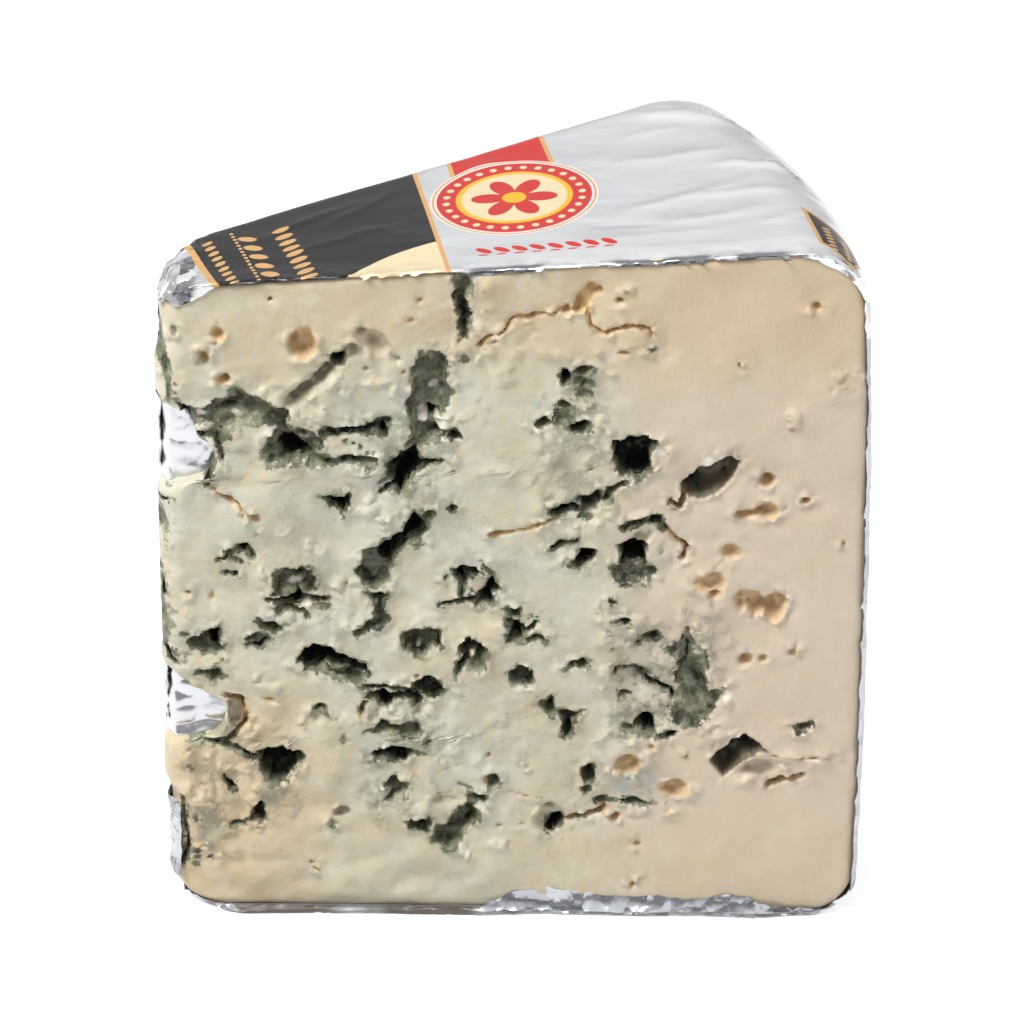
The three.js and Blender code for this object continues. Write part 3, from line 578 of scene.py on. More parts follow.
# Line features: kind, width, points in x and height
LINES = [
    ("scoop", 2.4, [(-22.8, 77), (-24, 75.5), (-26, 73.8), (-27.8, 72.3)]),
    # This olive line paints the shade along the groove below the black hole
    ("olive", 1.3, [(-22.8, 77), (-24, 75.5), (-26, 73.8), (-27.4, 72.6)]),
    ("scoop", 1.2, [(-19, 82.2), (-16.5, 81.2), (-15.2, 79.4), (-14.5, 78)]),
    ("olive", .8, [(-43.8, 82.4), (-43.2, 77), (-42.8, 72.6)]),
    ("soot", .8, [(-41, 71), (-40, 68), (-38.5, 67.3), (-36, 68)]),
    ("soot", .9, [(-26.7, 68.2), (-25.4, 67.6), (-24, 66.4)]),
    ("soot", 1.2, [(-25.3, 64.2), (-22.6, 64), (-20.2, 64.4), (-17.6, 64.2)]),
    ("soot", .8, [(-33.4, 70.6), (-31.6, 69.8)]),
    ("bloom", 3.4, [(-4.6, 90), (-5, 82), (-6.2, 74), (-7, 66)]),
    ("bloom", 3, [(14, 48.6), (18, 49.8)]),
    ("soot", .6, [(-37.2, 67.2), (-36.6, 65.6), (-36.4, 64)]),
    ("soot", .7, [(-38.4, 60.7), (-37.8, 62.4), (-37.4, 64.5)]),
    ("soot", 1.1, [(-23.8, 68), (-19.4, 68.2), (-15.8, 69.2)]),
    ("crack", 1.1, [(-38.2, 60.3), (-36.5, 58.8), (-35, 57.8), (-33.5, 56.7), (-32.5, 56.4)]),
    ("soot", .8, [(-36.1, 51.2), (-34.7, 51.8), (-33.5, 52), (-32.8, 50.2)]),
    ("soot", .6, [(-37, 50.2), (-35.7, 50.6), (-34.2, 49.8)]),
    ("soot", .6, [(-36.5, 48), (-34.8, 48)]),
    ("mid", 1.1, [(-16.7, 44), (-17.1, 42.4), (-16.5, 41.6), (-18.2, 40.6), (-19.6, 39.5)]),
    ("soot", .6, [(-19.3, 31.7), (-15.2, 31.6), (-12.2, 31.2), (-9.5, 32.6)]),
    ("soot", .6, [(-6.6, 47), (-6.6, 45.2)]),
    ("speck", .7, [(-13.3, 22.2), (-12, 22.1)]),
    ("soot", .5, [(-42.4, 15.2), (-42, 11), (-41.6, 7.6), (-42.7, 5.4)]),
    ("soot", .6, [(-32.6, 21.6), (-31.5, 19), (-30.9, 17.4)]),
    ("crack", .8, [(-10.8, 16), (-8.8, 16.3), (-6.5, 16)]),
    ("crack", .7, [(-1.2, 16.6), (1.4, 15.9), (3.4, 15.7)]),
    ("crack", .7, [(-10.2, 14.8), (-7.8, 15.2)]),
    ("soot", .7, [(-44.3, 72), (-43.8, 66)]),
    ("soot", .6, [(-44.5, 58.4), (-43.2, 58.2)]),
    ("soot", .5, [(-44.6, 48), (-44.1, 46), (-43.9, 44.2)]),
    ("soot", .6, [(-44, 36.5), (-43.2, 35.2), (-42.5, 34.2)]),
    ("speck", .7, [(-29.8, 43.2), (-28.9, 42.8), (-28, 43)]),
    ("soot", .5, [(-33.8, 37.4), (-32.2, 37.2), (-31.1, 38), (-32.3, 38.8), (-33.6, 38.2)]),
    ("soot", 1, [(-41, 23.7), (-37, 23), (-34, 21.7), (-33.2, 21)]),
    # This brown line edges the shaded wall beside the lower break, partly painted shade
    ("brown", .9, [(-36.4, 30), (-34.6, 29.4), (-34, 26.4), (-36.4, 23.6)]),
    ("soot", .5, [(-34.5, 11.5), (-36.2, 11)]),
    ("crack", .6, [(-25.8, 27.6), (-27.2, 26)]),
    ("olive", .8, [(-16.8, 61), (-14.8, 62)]),
    ("soot", .5, [(-10.8, 63.9), (-9, 64.2)]),
    ("soot", .5, [(-9.3, 43.8), (-7.7, 44.1), (-6, 44.6), (-4.4, 44.4)]),
    ("soot", .5, [(-4, 49.4), (-3.4, 48.6), (-2.6, 48)]),
    ("brown", .8, [(-19.4, 28), (-19, 29.4), (-18, 30.6)]),
    ("crack", .6, [(-13, 30.2), (-12, 29.2), (-11.8, 27.8)]),
    ("crack", .8, [(-10.5, 18.7), (-8.4, 20.2), (-6, 20.8)]),
    ("olive", .8, [(-7, 17.7), (-5.5, 17)]),
    ("crack", .5, [(-.5, 16.3), (1.4, 15.8), (3, 15.7)]),
    ("crack", 1.2, [(-4.2, 80), (-3.3, 81.5), (-2, 81.8), (-.5, 83.5), (.8, 84.3), (3, 84.7),
                   (5, 85), (6.5, 85.8)]),
    ("crack", .6, [(1, 83.8), (1.4, 82.2), (2, 81.8), (1, 80.8)]),
    ("crack", 1.2, [(-3, 53.8), (-1.2, 54.2), (1, 54.9), (3.5, 55.8), (5.4, 56.3)]),
    ("crack", 1.2, [(9, 85.2), (9.5, 83), (11, 82.3), (14, 83.2), (16.5, 83), (17, 82)]),
    ("soot", .6, [(5.6, 52.9), (6.9, 53), (7.8, 53.4)]),
    ("soot", .9, [(13.6, 55.2), (14.8, 56), (18, 56.3), (18.7, 55)]),
    ("brown", .8, [(18.7, 55), (19.6, 53.8), (21.5, 52.5), (21.1, 51)]),
    ("dark", 1, [(14, 61.5), (12, 60.5), (11.5, 59)]),
    ("brown", .9, [(21.4, 60.4), (20.5, 58.1), (19.4, 58.8)]),
    ("crack", .7, [(12, 35), (14, 35.7), (16, 34.3), (18, 33), (20, 32.5)]),
    ("soot", .8, [(14, 26.2), (15.6, 25.2), (18, 24.8), (20, 25)]),
    ("brown", .7, [(12.4, 33.8), (13, 34.7), (14.9, 34.8)]),
    ("soot", .8, [(14.9, 34.8), (16.7, 33.2), (19.6, 31.4), (20, 29.8)]),
    ("soot", .6, [(21.6, 38.6), (21.8, 35)]),
    ("brown", .8, [(11, 13.5), (8.4, 12.9), (6, 12)]),
    ("crack", .8, [(32.4, 22.4), (36, 22), (39, 22.2), (42, 22.3), (43.5, 23)]),
    ("brown", 1, [(32.2, 17.8), (34.2, 18.9), (36.5, 19.5)]),
    ("eye", 1.2, [(31.5, 57.5), (29.6, 57), (28, 57)]),
    ("speck", .7, [(17, 39.4), (15.5, 38.7)]),
    ("soot", .8, [(-15.7, 63.3), (-14.6, 61), (-13.6, 60.6)]),
    ("crack", .5, [(2, 92), (2.4, 91)]),
]

# The broken nose: where the paste begins, in x against height above the underside of the cheese
NOSE_BREAKS = [
    (0, 0), (22.8, 0), (23.4, 1.4), (24, 6.4), (25.4, 7.4), (27.2, 8), (29.2, 8.2), (30.2, 6),
    (31, 4.6), (32.6, 2.2), (33.8, .4), (35, 0), (60, 0), (60.8, 1.8), (61.6, 5.6), (62.6, 6.6),
    (64.6, 7.2), (66.4, 6.8), (67.4, 5.4), (69, 4.6), (70.6, 4), (71.4, 2.4), (72, .4), (73, 0),
    (96, 0),
]


def oval_distance(x, z, centre_x, centre_z, width, tall, turn):
    a = math.radians(turn)
    dx, dz = x - centre_x, z - centre_z
    u = (dx * math.cos(a) + dz * math.sin(a)) / (width / 2)
    v = (dz * math.cos(a) - dx * math.sin(a)) / (tall / 2)
    return (np.hypot(u, v) - 1) * min(width, tall) / 2


def line_distance(x, z, points):
    best = np.full(x.shape, 1e9)
    for (ax, az), (bx, bz) in zip(points, points[1:]):
        dx, dz = bx - ax, bz - az
        t = np.clip(((x - ax) * dx + (z - az) * dz) / (dx * dx + dz * dz), 0, 1)
        best = np.minimum(best, np.hypot(x - ax - t * dx, z - az - t * dz))
    return best


def patch_distance(x, z, corners):
    edge = line_distance(x, z, corners + corners[:1])
    inside = np.zeros(x.shape, bool)
    for (ax, az), (bx, bz) in zip(corners, corners[1:] + corners[:1]):
        crosses = (az > z) != (bz > z)
        if bz != az:
            inside ^= crosses & (x < (bx - ax) * (z - az) / (bz - az) + ax)
    return np.where(inside, -edge, edge)


def all_features():
    """Every feature as its kind, reach on the face, and distance function."""
    for kind, rows in OVALS:
        for row in rows:
            half = max(row[2], row[3]) / 2
            reach = (row[0] - half, row[0] + half, row[1] - half, row[1] + half)
            size = min(row[2], row[3]) / 2
            yield kind, reach, size, lambda x, z, row=row: oval_distance(x, z, *row)
    for kind, corners in PATCHES:
        xs, zs = [p[0] for p in corners], [p[1] for p in corners]
        reach = (min(xs), max(xs), min(zs), max(zs))
        yield kind, reach, 1.5, lambda x, z, corners=corners: patch_distance(x, z, corners)
    for kind, width, points in LINES:
        xs, zs = [p[0] for p in points], [p[1] for p in points]
        half = width / 2
        reach = (min(xs) - half, max(xs) + half, min(zs) - half, max(zs) + half)
        yield kind, reach, half, (
            lambda x, z, points=points, half=half: line_distance(x, z, points) - half)


FINISHES = ("mould", "grey", "tan", "olive", "halo", "pale", "depth", "bloom")
CRUMB_SEED = 5
HALO_REACH = 0.8
STAIN_REACH = 5.5
FEATURE_MARGIN = 6.0
FAR_AWAY = 9.0
WARP_REACH = 1.6


def face_noise(x, z):
    """Uneven patterns of the face that all features share."""
    flat = 0 * x
    return {
        "warp_x": fractal(x, flat, z, 1.5, 3, 11),
        "warp_z": fractal(x, flat, z, 1.5, 3, 41),
        "patchy": 0.5 + 0.7 * fractal(x, flat, z, 2.6, 4, 71),
        "blotchy": 0.5 + 0.9 * fractal(x, flat, z, 2.1, 3, 83),
        "crumbs": smooth(0.08, 0.4, fractal(x, flat, z, 1.1, 3, CRUMB_SEED)),
    }


def at_least(field, near, amount):
    field[near] = np.maximum(field[near], amount)


def shape_feature(fields, near, kind, size, d, uneven):
    """Sink or raise the face inside a feature, and give it a lip and a soft dip round it."""
    inside = smooth(0, 1, -d / min(kind["wall"], size) + 0.15)
    edge = min(1.0, 0.3 + 0.6 * size)
    if "raise_by" in kind:
        fields["depth"][near] *= 1 - 0.7 * inside
        fields["depth"][near] -= kind["raise_by"] * inside * min(1.0, size)
        for name in ("mould", "grey", "tan"):
            fields[name][near] *= 1 - (0.9 * kind["pale"] + 0.1) * smooth(0.3, -0.25, d)
    else:
        at_least(fields["depth"], near, kind["depth"] * inside * min(1.0, 0.45 + 0.55 * size))
    if "lip" in kind:
        ridge = np.exp(-((d - 0.38) / 0.28) ** 2) * smooth(0.4, 0.75, uneven["blotchy"])
        at_least(fields["lip"], near, kind["lip"] * ridge * edge)
    if "dip" in kind:
        at_least(fields["dip"], near, kind["dip"] * np.exp(-np.maximum(d, 0) / 1.3) * edge)


def colour_feature(fields, near, kind, d, uneven):
    """Lay each finish that the feature brings over its inside."""
    for name in ("tan", "olive", "pale"):
        if name in kind:
            at_least(fields[name], near, kind[name] * smooth(0.3, -0.25, d))
    if "grey" in kind:
        amount = kind["grey"] * smooth(0.95, -0.55, d)
        at_least(fields["grey"], near, amount * (0.6 + 0.7 * uneven["patchy"]))
    if "mould" in kind:
        amount = kind["mould"] * smooth(0.45, -kind["core"] - 0.25, d)
        amount *= 1 - kind.get("patchy", 0.15) * smooth(0.62, 0.4, uneven["blotchy"])
        at_least(fields["mould"], near, amount * (1 - 0.8 * uneven["crumbs"]))


def stain_feature(fields, near, kind, size, d, uneven):
    """Lay a feature's haze or bloom, or the stain that spreads from it."""
    if "soft" in kind:
        name = "bloom" if "bloom" in kind else "halo"
        amount = kind[name] * smooth(0.6, -kind["soft"], d) * smooth(0.3, 0.7, uneven["patchy"])
        at_least(fields[name], near, amount)
    elif "halo" in kind:
        close = np.exp(-np.maximum(d, 0) / HALO_REACH)
        far = smooth(STAIN_REACH, 0, d) * smooth(0.35, 0.75, uneven["patchy"])
        amount = 0.75 * close + 0.55 * far * min(1.0, 0.35 + 0.5 * size)
        at_least(fields["halo"], near, kind["halo"] * amount * (0.3 + 0.9 * uneven["patchy"]))


def face_fields(x, z):
    """Depth into the cut face and the amount of each finish, at points of the face."""
    fields = {name: np.zeros(x.shape) for name in FINISHES + ("dip", "lip")}
    fields["near"] = np.full(x.shape, FAR_AWAY)
    everywhere = face_noise(x, z)
    m = FEATURE_MARGIN
    for name, (x0, x1, z0, z1), size, distance in all_features():
        kind = KINDS[name]
        near = np.flatnonzero((x > x0 - m) & (x < x1 + m) & (z > z0 - m) & (z < z1 + m))
        if not len(near):
            continue
        uneven = {key: values[near] for key, values in everywhere.items()}
        warp = WARP_REACH * (kind["ragged"] * min(1.0, 0.4 + size / 2))
        d = distance(x[near] + warp * uneven["warp_x"], z[near] + warp * uneven["warp_z"])
        d = d + kind.get("narrow", 0.0) * (0.7 + uneven["blotchy"])
        fields["near"][near] = np.minimum(fields["near"][near], d)
        shape_feature(fields, near, kind, size, d, uneven)
        colour_feature(fields, near, kind, d, uneven)
        stain_feature(fields, near, kind, size, d, uneven)
    veined = smooth(16, 4, x) * smooth(-46, -34, x) * smooth(80, 70, z) * smooth(2, 14, z)
    cloudy = 0.5 + 0.8 * fractal(x, 0 * x, z, 4.6, 4, 89)
    fields["halo"] = np.maximum(fields["halo"], 0.28 * veined * smooth(0.45, 0.95, cloudy))
    return fields


def face_relief(x, z, fields):
    """How far back the cut face lies at each point: hollows, crumbs and soft unevenness."""
    flat = 0 * x
    crumbly = smooth(8, -16, x) * smooth(86, 74, z)
    crumbly = np.maximum(crumbly, smooth(3.0, 0.2, fields["near"]) * 0.6)
    hollow = smooth(0.2, 1.2, fields["depth"])
    relief = fields["depth"] + fields["dip"] - fields["lip"] * (1 - hollow)
    relief -= 0.95 * hollow * fractal(x, flat, z, 1.1, 3, CRUMB_SEED)
    relief += (0.07 + 0.4 * crumbly) * fractal(x, flat, z, 3.4, 4, 23)
    relief += (0.2 + 0.75 * crumbly) * fractal(x, flat, z, 7.5, 2, 37)
    torn = creases(x * 0.8 + z * 0.3, flat, z, 4.2, 43)
    relief += 0.45 * crumbly * torn * smooth(-0.2, 0.5, noise(x / 9, flat, z / 9, 47))
    beside = np.exp(-(np.maximum(fields["near"], 0) / 0.9) ** 2) * (1 - hollow)
    relief -= 0.5 * beside * smooth(0.05, 0.4, fractal(x, flat, z, 1.5, 3, 131))
    relief += 0.28 * fractal(x, flat, z, 16, 2, 29)
    relief += 0.02 * noise(x / 0.7, flat, z / 0.7, 31)
    return relief


# The cheese

CHEESE_STEP = 0.6
NOSE_SUNK = 0.945
BREAK_SHARPENS = 2.6
CHEESE_COUNTS = {"front_rim": 6, "rim": 26, "rim_back": 5, "back": 36, "back_nose": 7,
                 "nose": 6, "nose_front": 11, "front": 140}


def nose_break(z):
    """How far the nose has crumbled away at height z of the wedge."""
    heights = [row[0] + FACE_LIFT for row in NOSE_BREAKS]
    return float(np.interp(z, heights, [row[1] for row in NOSE_BREAKS]))


def cheese_rings():
    low, high = CHEESE_INSET, HEIGHT - CHEESE_INSET
    steps = np.array([0, .05, .15, .35, .7, 1.2, 1.8, 2.4])
    middle = np.linspace(low + 3, high - 3, round((high - low - 6) / CHEESE_STEP) + 1)
    levels = np.concatenate([low + steps, middle, (high - steps)[::-1]])
    rings = []
    for z in levels:
        at = side_insets(z, CHEESE_INSET, 0.0, SHOULDER_TOP["front"], 0.45)
        bare = smooth(1.5, 5, min(z - NOSE_BARE[0], NOSE_BARE[1] - z))
        at["nose_front"] -= NOSE_SWELL * bare
        gone = nose_break(z * NOSE_SUNK)
        at["nose_front"] += gone
        at["nose"] += gone
        corner = CORNER["nose_front"] - BREAK_SHARPENS * smooth(0, 3, gone)
        plan = plan_outline(at, CHEESE_COUNTS, corner)
        height = sunk(plan[:, 0], z) - (CHEESE_INSET - CHEESE_FOOT) * smooth(3.5, 1, z)
        rings.append(np.column_stack([plan, height]))
    return np.array(rings)


def refine_front(piece):
    """Split the faces of the cut face that lie in or near a feature."""
    middles = face_middles(piece.data)
    front = middles[:, 1] < 1.5
    fields = face_fields(middles[front, 0], middles[front, 2] - FACE_LIFT)
    strong = sum(fields[name] for name in ("mould", "grey", "tan", "olive", "pale"))
    chosen = np.zeros(len(middles), bool)
    chosen[front] = (strong > 0.02) | (fields["depth"] > 0.05)
    deselect()
    bpy.context.view_layer.objects.active = piece
    select_faces(piece.data, chosen)
    bpy.ops.object.mode_set(mode="EDIT")
    bpy.ops.mesh.select_more()
    bpy.ops.mesh.subdivide(number_cuts=1)
    bpy.ops.object.mode_set(mode="OBJECT")


def make_cheese():
    piece = wrapped_shell("cheese_wedge", cheese_rings())
    refine_front(piece)
    mesh = piece.data
    points = points_of(mesh)
    x, y, z = points.T
    fields = face_fields(x, z - FACE_LIFT)
    front = smooth(3.4, 0.9, y)
    top = sunk(x, HEIGHT - CHEESE_INSET)
    rims = smooth(-0.1, 1.6, top - z) * smooth(0.9, 2.4, z)
    points[:, 1] += front * rims * face_relief(x, z - FACE_LIFT, fields)
    edge_crumbs = 0.22 * fractal(x, y, z, 2.2, 3, 97)
    points[:, 0] += smooth(-40, -43, x) * smooth(9, 5, y) * edge_crumbs
    points[:, 0] += rim_bulge(x, y, z)
    move_points(mesh, points)
    for name in FINISHES:
        keep_values(mesh, name, fields[name] * smooth(16, 9, y))
    smooth_shading(piece, 60)
    return piece


# Building blocks for materials

class Nodes:
    """A node tree, built up from its own small parts."""

    def __init__(self, tree):
        self.tree = tree

    def add(self, kind, settings=None, **sockets):
        node = self.tree.nodes.new("ShaderNode" + kind)
        for key, value in (settings or {}).items():
            setattr(node, key, value)
        for key, value in sockets.items():
            self.feed(node.inputs[key], value)
        return node

    def feed(self, socket, value):
        if isinstance(value, bpy.types.NodeSocket):
            self.tree.links.new(value, socket)
        else:
            socket.default_value = value

    def maths(self, operation, *values):
        node = self.add("Math", {"operation": operation})
        for socket, value in zip(node.inputs, values):
            self.feed(socket, value)
        return node.outputs[0]

    def plus(self, a, b):
        return self.maths("ADD", a, b)

    def minus(self, a, b):
        return self.maths("SUBTRACT", a, b)

    def times(self, first, *others):
        for other in others:
            first = self.maths("MULTIPLY", first, other)
        return first

    def times_plus(self, a, b, c):
        return self.maths("MULTIPLY_ADD", a, b, c)

    def most(self, first, *others):
        for other in others:
            first = self.maths("MAXIMUM", first, other)
        return first

    def between(self, value, low, high, to_low=0.0, to_high=1.0, shape="SMOOTHSTEP"):
        node = self.add("MapRange", {"interpolation_type": shape})
        for socket, number in zip(node.inputs, (value, low, high, to_low, to_high)):
            self.feed(socket, number)
        return node.outputs[0]

    def parts(self, vector):
        return self.add("SeparateXYZ", Vector=vector).outputs

    def vectors(self, operation, a, b=None, scale=None):
        node = self.add("VectorMath", {"operation": operation})
        self.feed(node.inputs[0], a)
        if b is not None:
            self.feed(node.inputs[1], b)
        if scale is not None:
            self.feed(node.inputs["Scale"], scale)
        return node.outputs[0]


class Finish(Nodes):
    """One material and the noises, blends and bumps that it is made of. Grains are in mm."""

    def __init__(self, name):
        self.material = bpy.data.materials.new(name)
        self.material.use_nodes = True
        super().__init__(self.material.node_tree)
        self.place = self.add("TexCoord").outputs["Object"]

    def give(self, name, value):
        """Set or link one socket of the surface."""
        self.feed(self.tree.nodes["Principled BSDF"].inputs[name], value)

    def stored(self, name):
        return self.add("Attribute", {"attribute_name": name}).outputs["Fac"]

    def stretched(self, scale, turn):
        node = self.add("Mapping", Vector=self.place, Scale=scale)
        node.inputs["Rotation"].default_value = (0, 0, math.radians(turn))
        return node.outputs[0]

    def cloud(self, grain, detail=3.0, roughness=0.55, distortion=0.0, vector=None):
        node = self.add("TexNoise", Vector=vector or self.place, Scale=1 / (grain * MM))
        self.feed(node.inputs["Detail"], detail)
        self.feed(node.inputs["Roughness"], roughness)
        self.feed(node.inputs["Distortion"], distortion)
        return node.outputs["Fac"]

    def cells(self, grain, vector=None):
        return self.add("TexVoronoi", Vector=vector or self.place, Scale=1 / (grain * MM)).outputs

    def tilted(self, directions, amount):
        """The surface normal turned a little by a random colour."""
        lean = self.vectors("SCALE", self.vectors("SUBTRACT", directions, (0.5,) * 3), scale=amount)
        normal = self.add("NewGeometry").outputs["Normal"]
        return self.vectors("NORMALIZE", self.vectors("ADD", normal, lean))

    def blend(self, amount, a, b):
        node = self.add("Mix", {"data_type": "RGBA"})
        self.feed(node.inputs["Factor"], amount)
        self.feed(node.inputs[6], a)
        self.feed(node.inputs[7], b)
        return node.outputs[2]

    def blend_number(self, amount, a, b):
        node = self.add("Mix", {"data_type": "FLOAT"})
        self.feed(node.inputs[0], amount)
        self.feed(node.inputs[2], a)
        self.feed(node.inputs[3], b)
        return node.outputs[0]

    def bump(self, height, strength, reach, under=None):
        node = self.add("Bump", Strength=strength, Distance=reach * MM, Height=height)
        if under is not None:
            self.feed(node.inputs["Normal"], under)
        return node.outputs[0]


def shade(red, green, blue):
    """A colour given as it looks on screen, 0 to 255, as linear light."""
    out = []
    for value in (red, green, blue):
        v = value / 255
        out.append(v / 12.92 if v < 0.04045 else ((v + 0.055) / 1.055) ** 2.4)
    return (*out, 1.0)


# Colours of the paste and its mould
PASTE_GREY = shade(173, 172, 156)
PASTE_CREAM = shade(177, 168, 145)
PASTE_PINK = shade(184, 169, 150)
PASTE_TAN = shade(180, 159, 126)
EYE_TAN = shade(186, 150, 98)
CRACK_BROWN = shade(132, 98, 60)
OLIVE = shade(64, 54, 32)
STAIN = shade(118, 119, 104)
BLOOM_BLUE = shade(158, 164, 162)
MOULD_LIGHT = shade(150, 149, 126)
MOULD_GREY = shade(104, 105, 84)
MOULD_GREEN = shade(54, 55, 42)
MOULD_BLACK = shade(14, 14, 11)
CURD_WHITE = shade(200, 195, 181)


class CheeseFinish(Finish):
    """The material of the paste, with the clouds that its parts share."""

    def __init__(self):
        super().__init__("blue_cheese_paste")
        self.x, _, self.z = self.parts(self.place)[:3]
        self.fine = self.cloud(0.55, 4, 0.6)
        self.small = self.cloud(1.6, 4, 0.6)
        self.medium = self.cloud(5, 4, 0.55)
        self.wide = self.cloud(19, 3, 0.5)
        self.ragged = self.minus(self.plus(self.fine, self.small), 1.0)
        self.right = self.between(self.x, 0.002, 0.026)

    def share(self, name, low, high, ragged):
        """Where a finish lies, from its stored amount and with a ragged edge."""
        return self.between(self.times_plus(self.ragged, ragged, self.stored(name)), low, high)

    def paste(self):
        """Grey cream, pinker at the right, and tan low at the left, near the top and at the foot."""
        colour = self.blend(self.between(self.wide, 0.4, 0.7, 0.0, 0.7), PASTE_GREY, PASTE_CREAM)
        colour = self.blend(self.times(self.right, 0.9), colour, PASTE_PINK)
        low_left = self.times(self.between(self.x, -0.014, -0.036), self.between(self.z, 0.045, 0.015))
        high = self.between(self.z, 0.072, 0.084)
        foot = self.between(self.z, 0.02, 0.006)
        warm = self.most(self.times(low_left, 0.8), self.times(high, 0.6), self.times(foot, 0.25))
        warm = self.times(warm, self.between(self.wide, 0.15, 0.5, 0.5, 1.0))
        return self.blend(warm, colour, PASTE_TAN)

    def mottled(self, colour):
        """Tan and white spots, weaker at the right."""
        mottle = self.plus(self.times(self.medium, 0.6), self.times(self.small, 0.4))
        strength = self.blend_number(self.right, 1.0, 0.3)
        tan_spots = self.times(self.between(mottle, 0.47, 0.64, 0.0, 0.4), strength)
        pale_spots = self.times(self.between(mottle, 0.5, 0.36, 0.0, 0.3), strength)
        return self.blend(pale_spots, self.blend(tan_spots, colour, PASTE_TAN), CURD_WHITE)

    def stained(self, colour):
        """Stain and bloom round the veins, olive in hollows and on some shaded walls and grooves
        (there partly painted shade), and tan eyes and cracks.
        """
        for name, low, high, ragged, strength, tone in (
            ("halo", 0.02, 1.1, 0.45, 0.72, STAIN),
            ("bloom", 0.1, 0.9, 0.5, 0.7, BLOOM_BLUE),
            ("olive", 0.2, 0.8, 0.4, 0.8, OLIVE),
            ("tan", 0.1, 0.9, 0.25, 1.0, EYE_TAN),
            ("tan", 0.62, 0.85, 0.3, 0.7, CRACK_BROWN),
        ):
            amount = self.times(self.share(name, low, high, ragged), strength)
            colour = self.blend(amount, colour, tone)
        return colour

    def moulded(self, colour, black):
        """Grey-green dust, darkened deeper in the hollows partly as mould and partly as painted
        shade, then black mould, then pale crumbs on both.
        """
        speckle, broad = self.cloud(0.4, 4, 0.65), self.cloud(2.8, 4, 0.55)
        dust = self.plus(self.times(speckle, 0.22), self.times(broad, 0.78))
        grey = self.blend(self.between(dust, 0.38, 0.52), MOULD_GREEN, MOULD_GREY)
        grey = self.blend(self.between(dust, 0.52, 0.66), grey, MOULD_LIGHT)
        # Partly painted shade: the dust turns towards black deeper in the hollows, where shade falls
        grey = self.blend(self.between(self.stored("depth"), 0.8, 3.0, 0.0, 0.7), grey, MOULD_BLACK)
        colour = self.blend(self.share("grey", 0.32, 0.58, 1.1), colour, grey)
        tone = self.blend(self.between(self.fine, 0.52, 0.75, 0.0, 0.6), MOULD_BLACK, MOULD_GREEN)
        colour = self.blend(black, colour, tone)
        return self.blend(self.times(self.share("pale", 0.2, 0.7, 0.3), 0.85), colour, CURD_WHITE)

    def grain(self):
        """Fine bumps, rougher beside the mould and weaker at the right."""
        rough_spots = self.times_plus(self.between(self.stored("halo"), 0.05, 0.5), 1.4, 0.25)
        grain = self.plus(self.times(self.fine, rough_spots), self.times(self.small, 0.7))
        return self.times(grain, self.blend_number(self.right, 0.8, 0.5))


def cheese_finish():
    f = CheeseFinish()
    black = f.share("mould", 0.4, 0.6, 0.9)
    f.give("Base Color", f.moulded(f.stained(f.mottled(f.paste())), black))
    f.give("Roughness", f.blend_number(black, f.between(f.medium, 0.35, 0.7, 0.42, 0.62), 0.85))
    f.give("Specular IOR Level", 0.35)
    f.give("Subsurface Weight", 0.12)
    f.give("Subsurface Radius", (1.0, 0.7, 0.4))
    f.give("Subsurface Scale", 0.0012)
    f.give("Normal", f.bump(f.grain(), 0.6, 0.4))
    return f.material


# The foil

FOIL_COUNTS = {"front_rim": 7, "rim": 60, "rim_back": 9, "back": 104, "back_nose": 13,
               "nose": 12, "nose_front": 8, "front": 148}
FOIL_FRONT = -0.7
FOIL_THICK = 0.14
TOP_RINGS = 46
BASE_RINGS = 10

# Free edge of the underside: x, y
FLANGE_EDGE = [
    (-60, 1), (-43, .5), (-38, -1.2), (-35, -2.2), (-22, -1.9), (-4, -2.1), (4, -1.6),
    (14, -1.9), (24, -1.7), (31, -2.1), (36, -1.3), (41, -1), (60, -1),
]
# Top of the foil that is turned up along the bottom edge: x, z
TURNED_UP = [
    (-60, .3), (-41, .9), (-30, 1.1), (-22, .8), (-12, 1.05), (-5, .9), (-3, 1.8), (0, 2.7),
    (4, 3.4), (8, 2.9), (12, 2.4), (17, 2.6), (22, 2.0), (25, 2.3), (28, 2.8), (31, 2.2),
    (34, 1.1), (38, .9), (44, 1.2),
]
# How far the foil hangs over the top front edge: x, drop
TOP_LIP = [
    (-46, .6), (-43.4, 1.2), (-42.6, 2.6), (-41.4, 3.3), (-40, 2.7), (-38.4, 2.2), (-37, 1.1),
    (-36, .5), (-30, .3), (-20, .35), (-8, .3), (-6.6, .1), (-5.4, .7), (-3, .9), (-1, .55),
    (2, .8), (4, .35), (9, .3), (14, .5), (20, .75), (24, .4), (27, .55), (32, .9), (34.6, .5),
    (36.6, 1.6), (38.4, 2.6), (40.6, 4.2), (42.2, 6), (43.4, 8.6), (45, 12),
]
# Parts of the top front edge where the turned-down foil lies in shade, in x
DARK_FOLDS = [(-5.5, 3.5), (12, 24), (27, 33.5)]
# Left edge of the foil strip along the rim: height, x
RIM_STRIP = [
    (0, 43.2), (6, 43.5), (12, 43.4), (19, 43.6), (27, 43.2), (34, 43.5), (42, 43.7), (50, 43.4),
    (58, 43.6), (66, 43.3), (73, 43.6), (80, 43.3), (86, 43), (100, 43),
]
# Foil seen behind the breaks in the nose: lowest height, highest height, seed
FOIL_BEHIND = [(22.6, 34.2, 301), (60.6, 73.4, 307)]


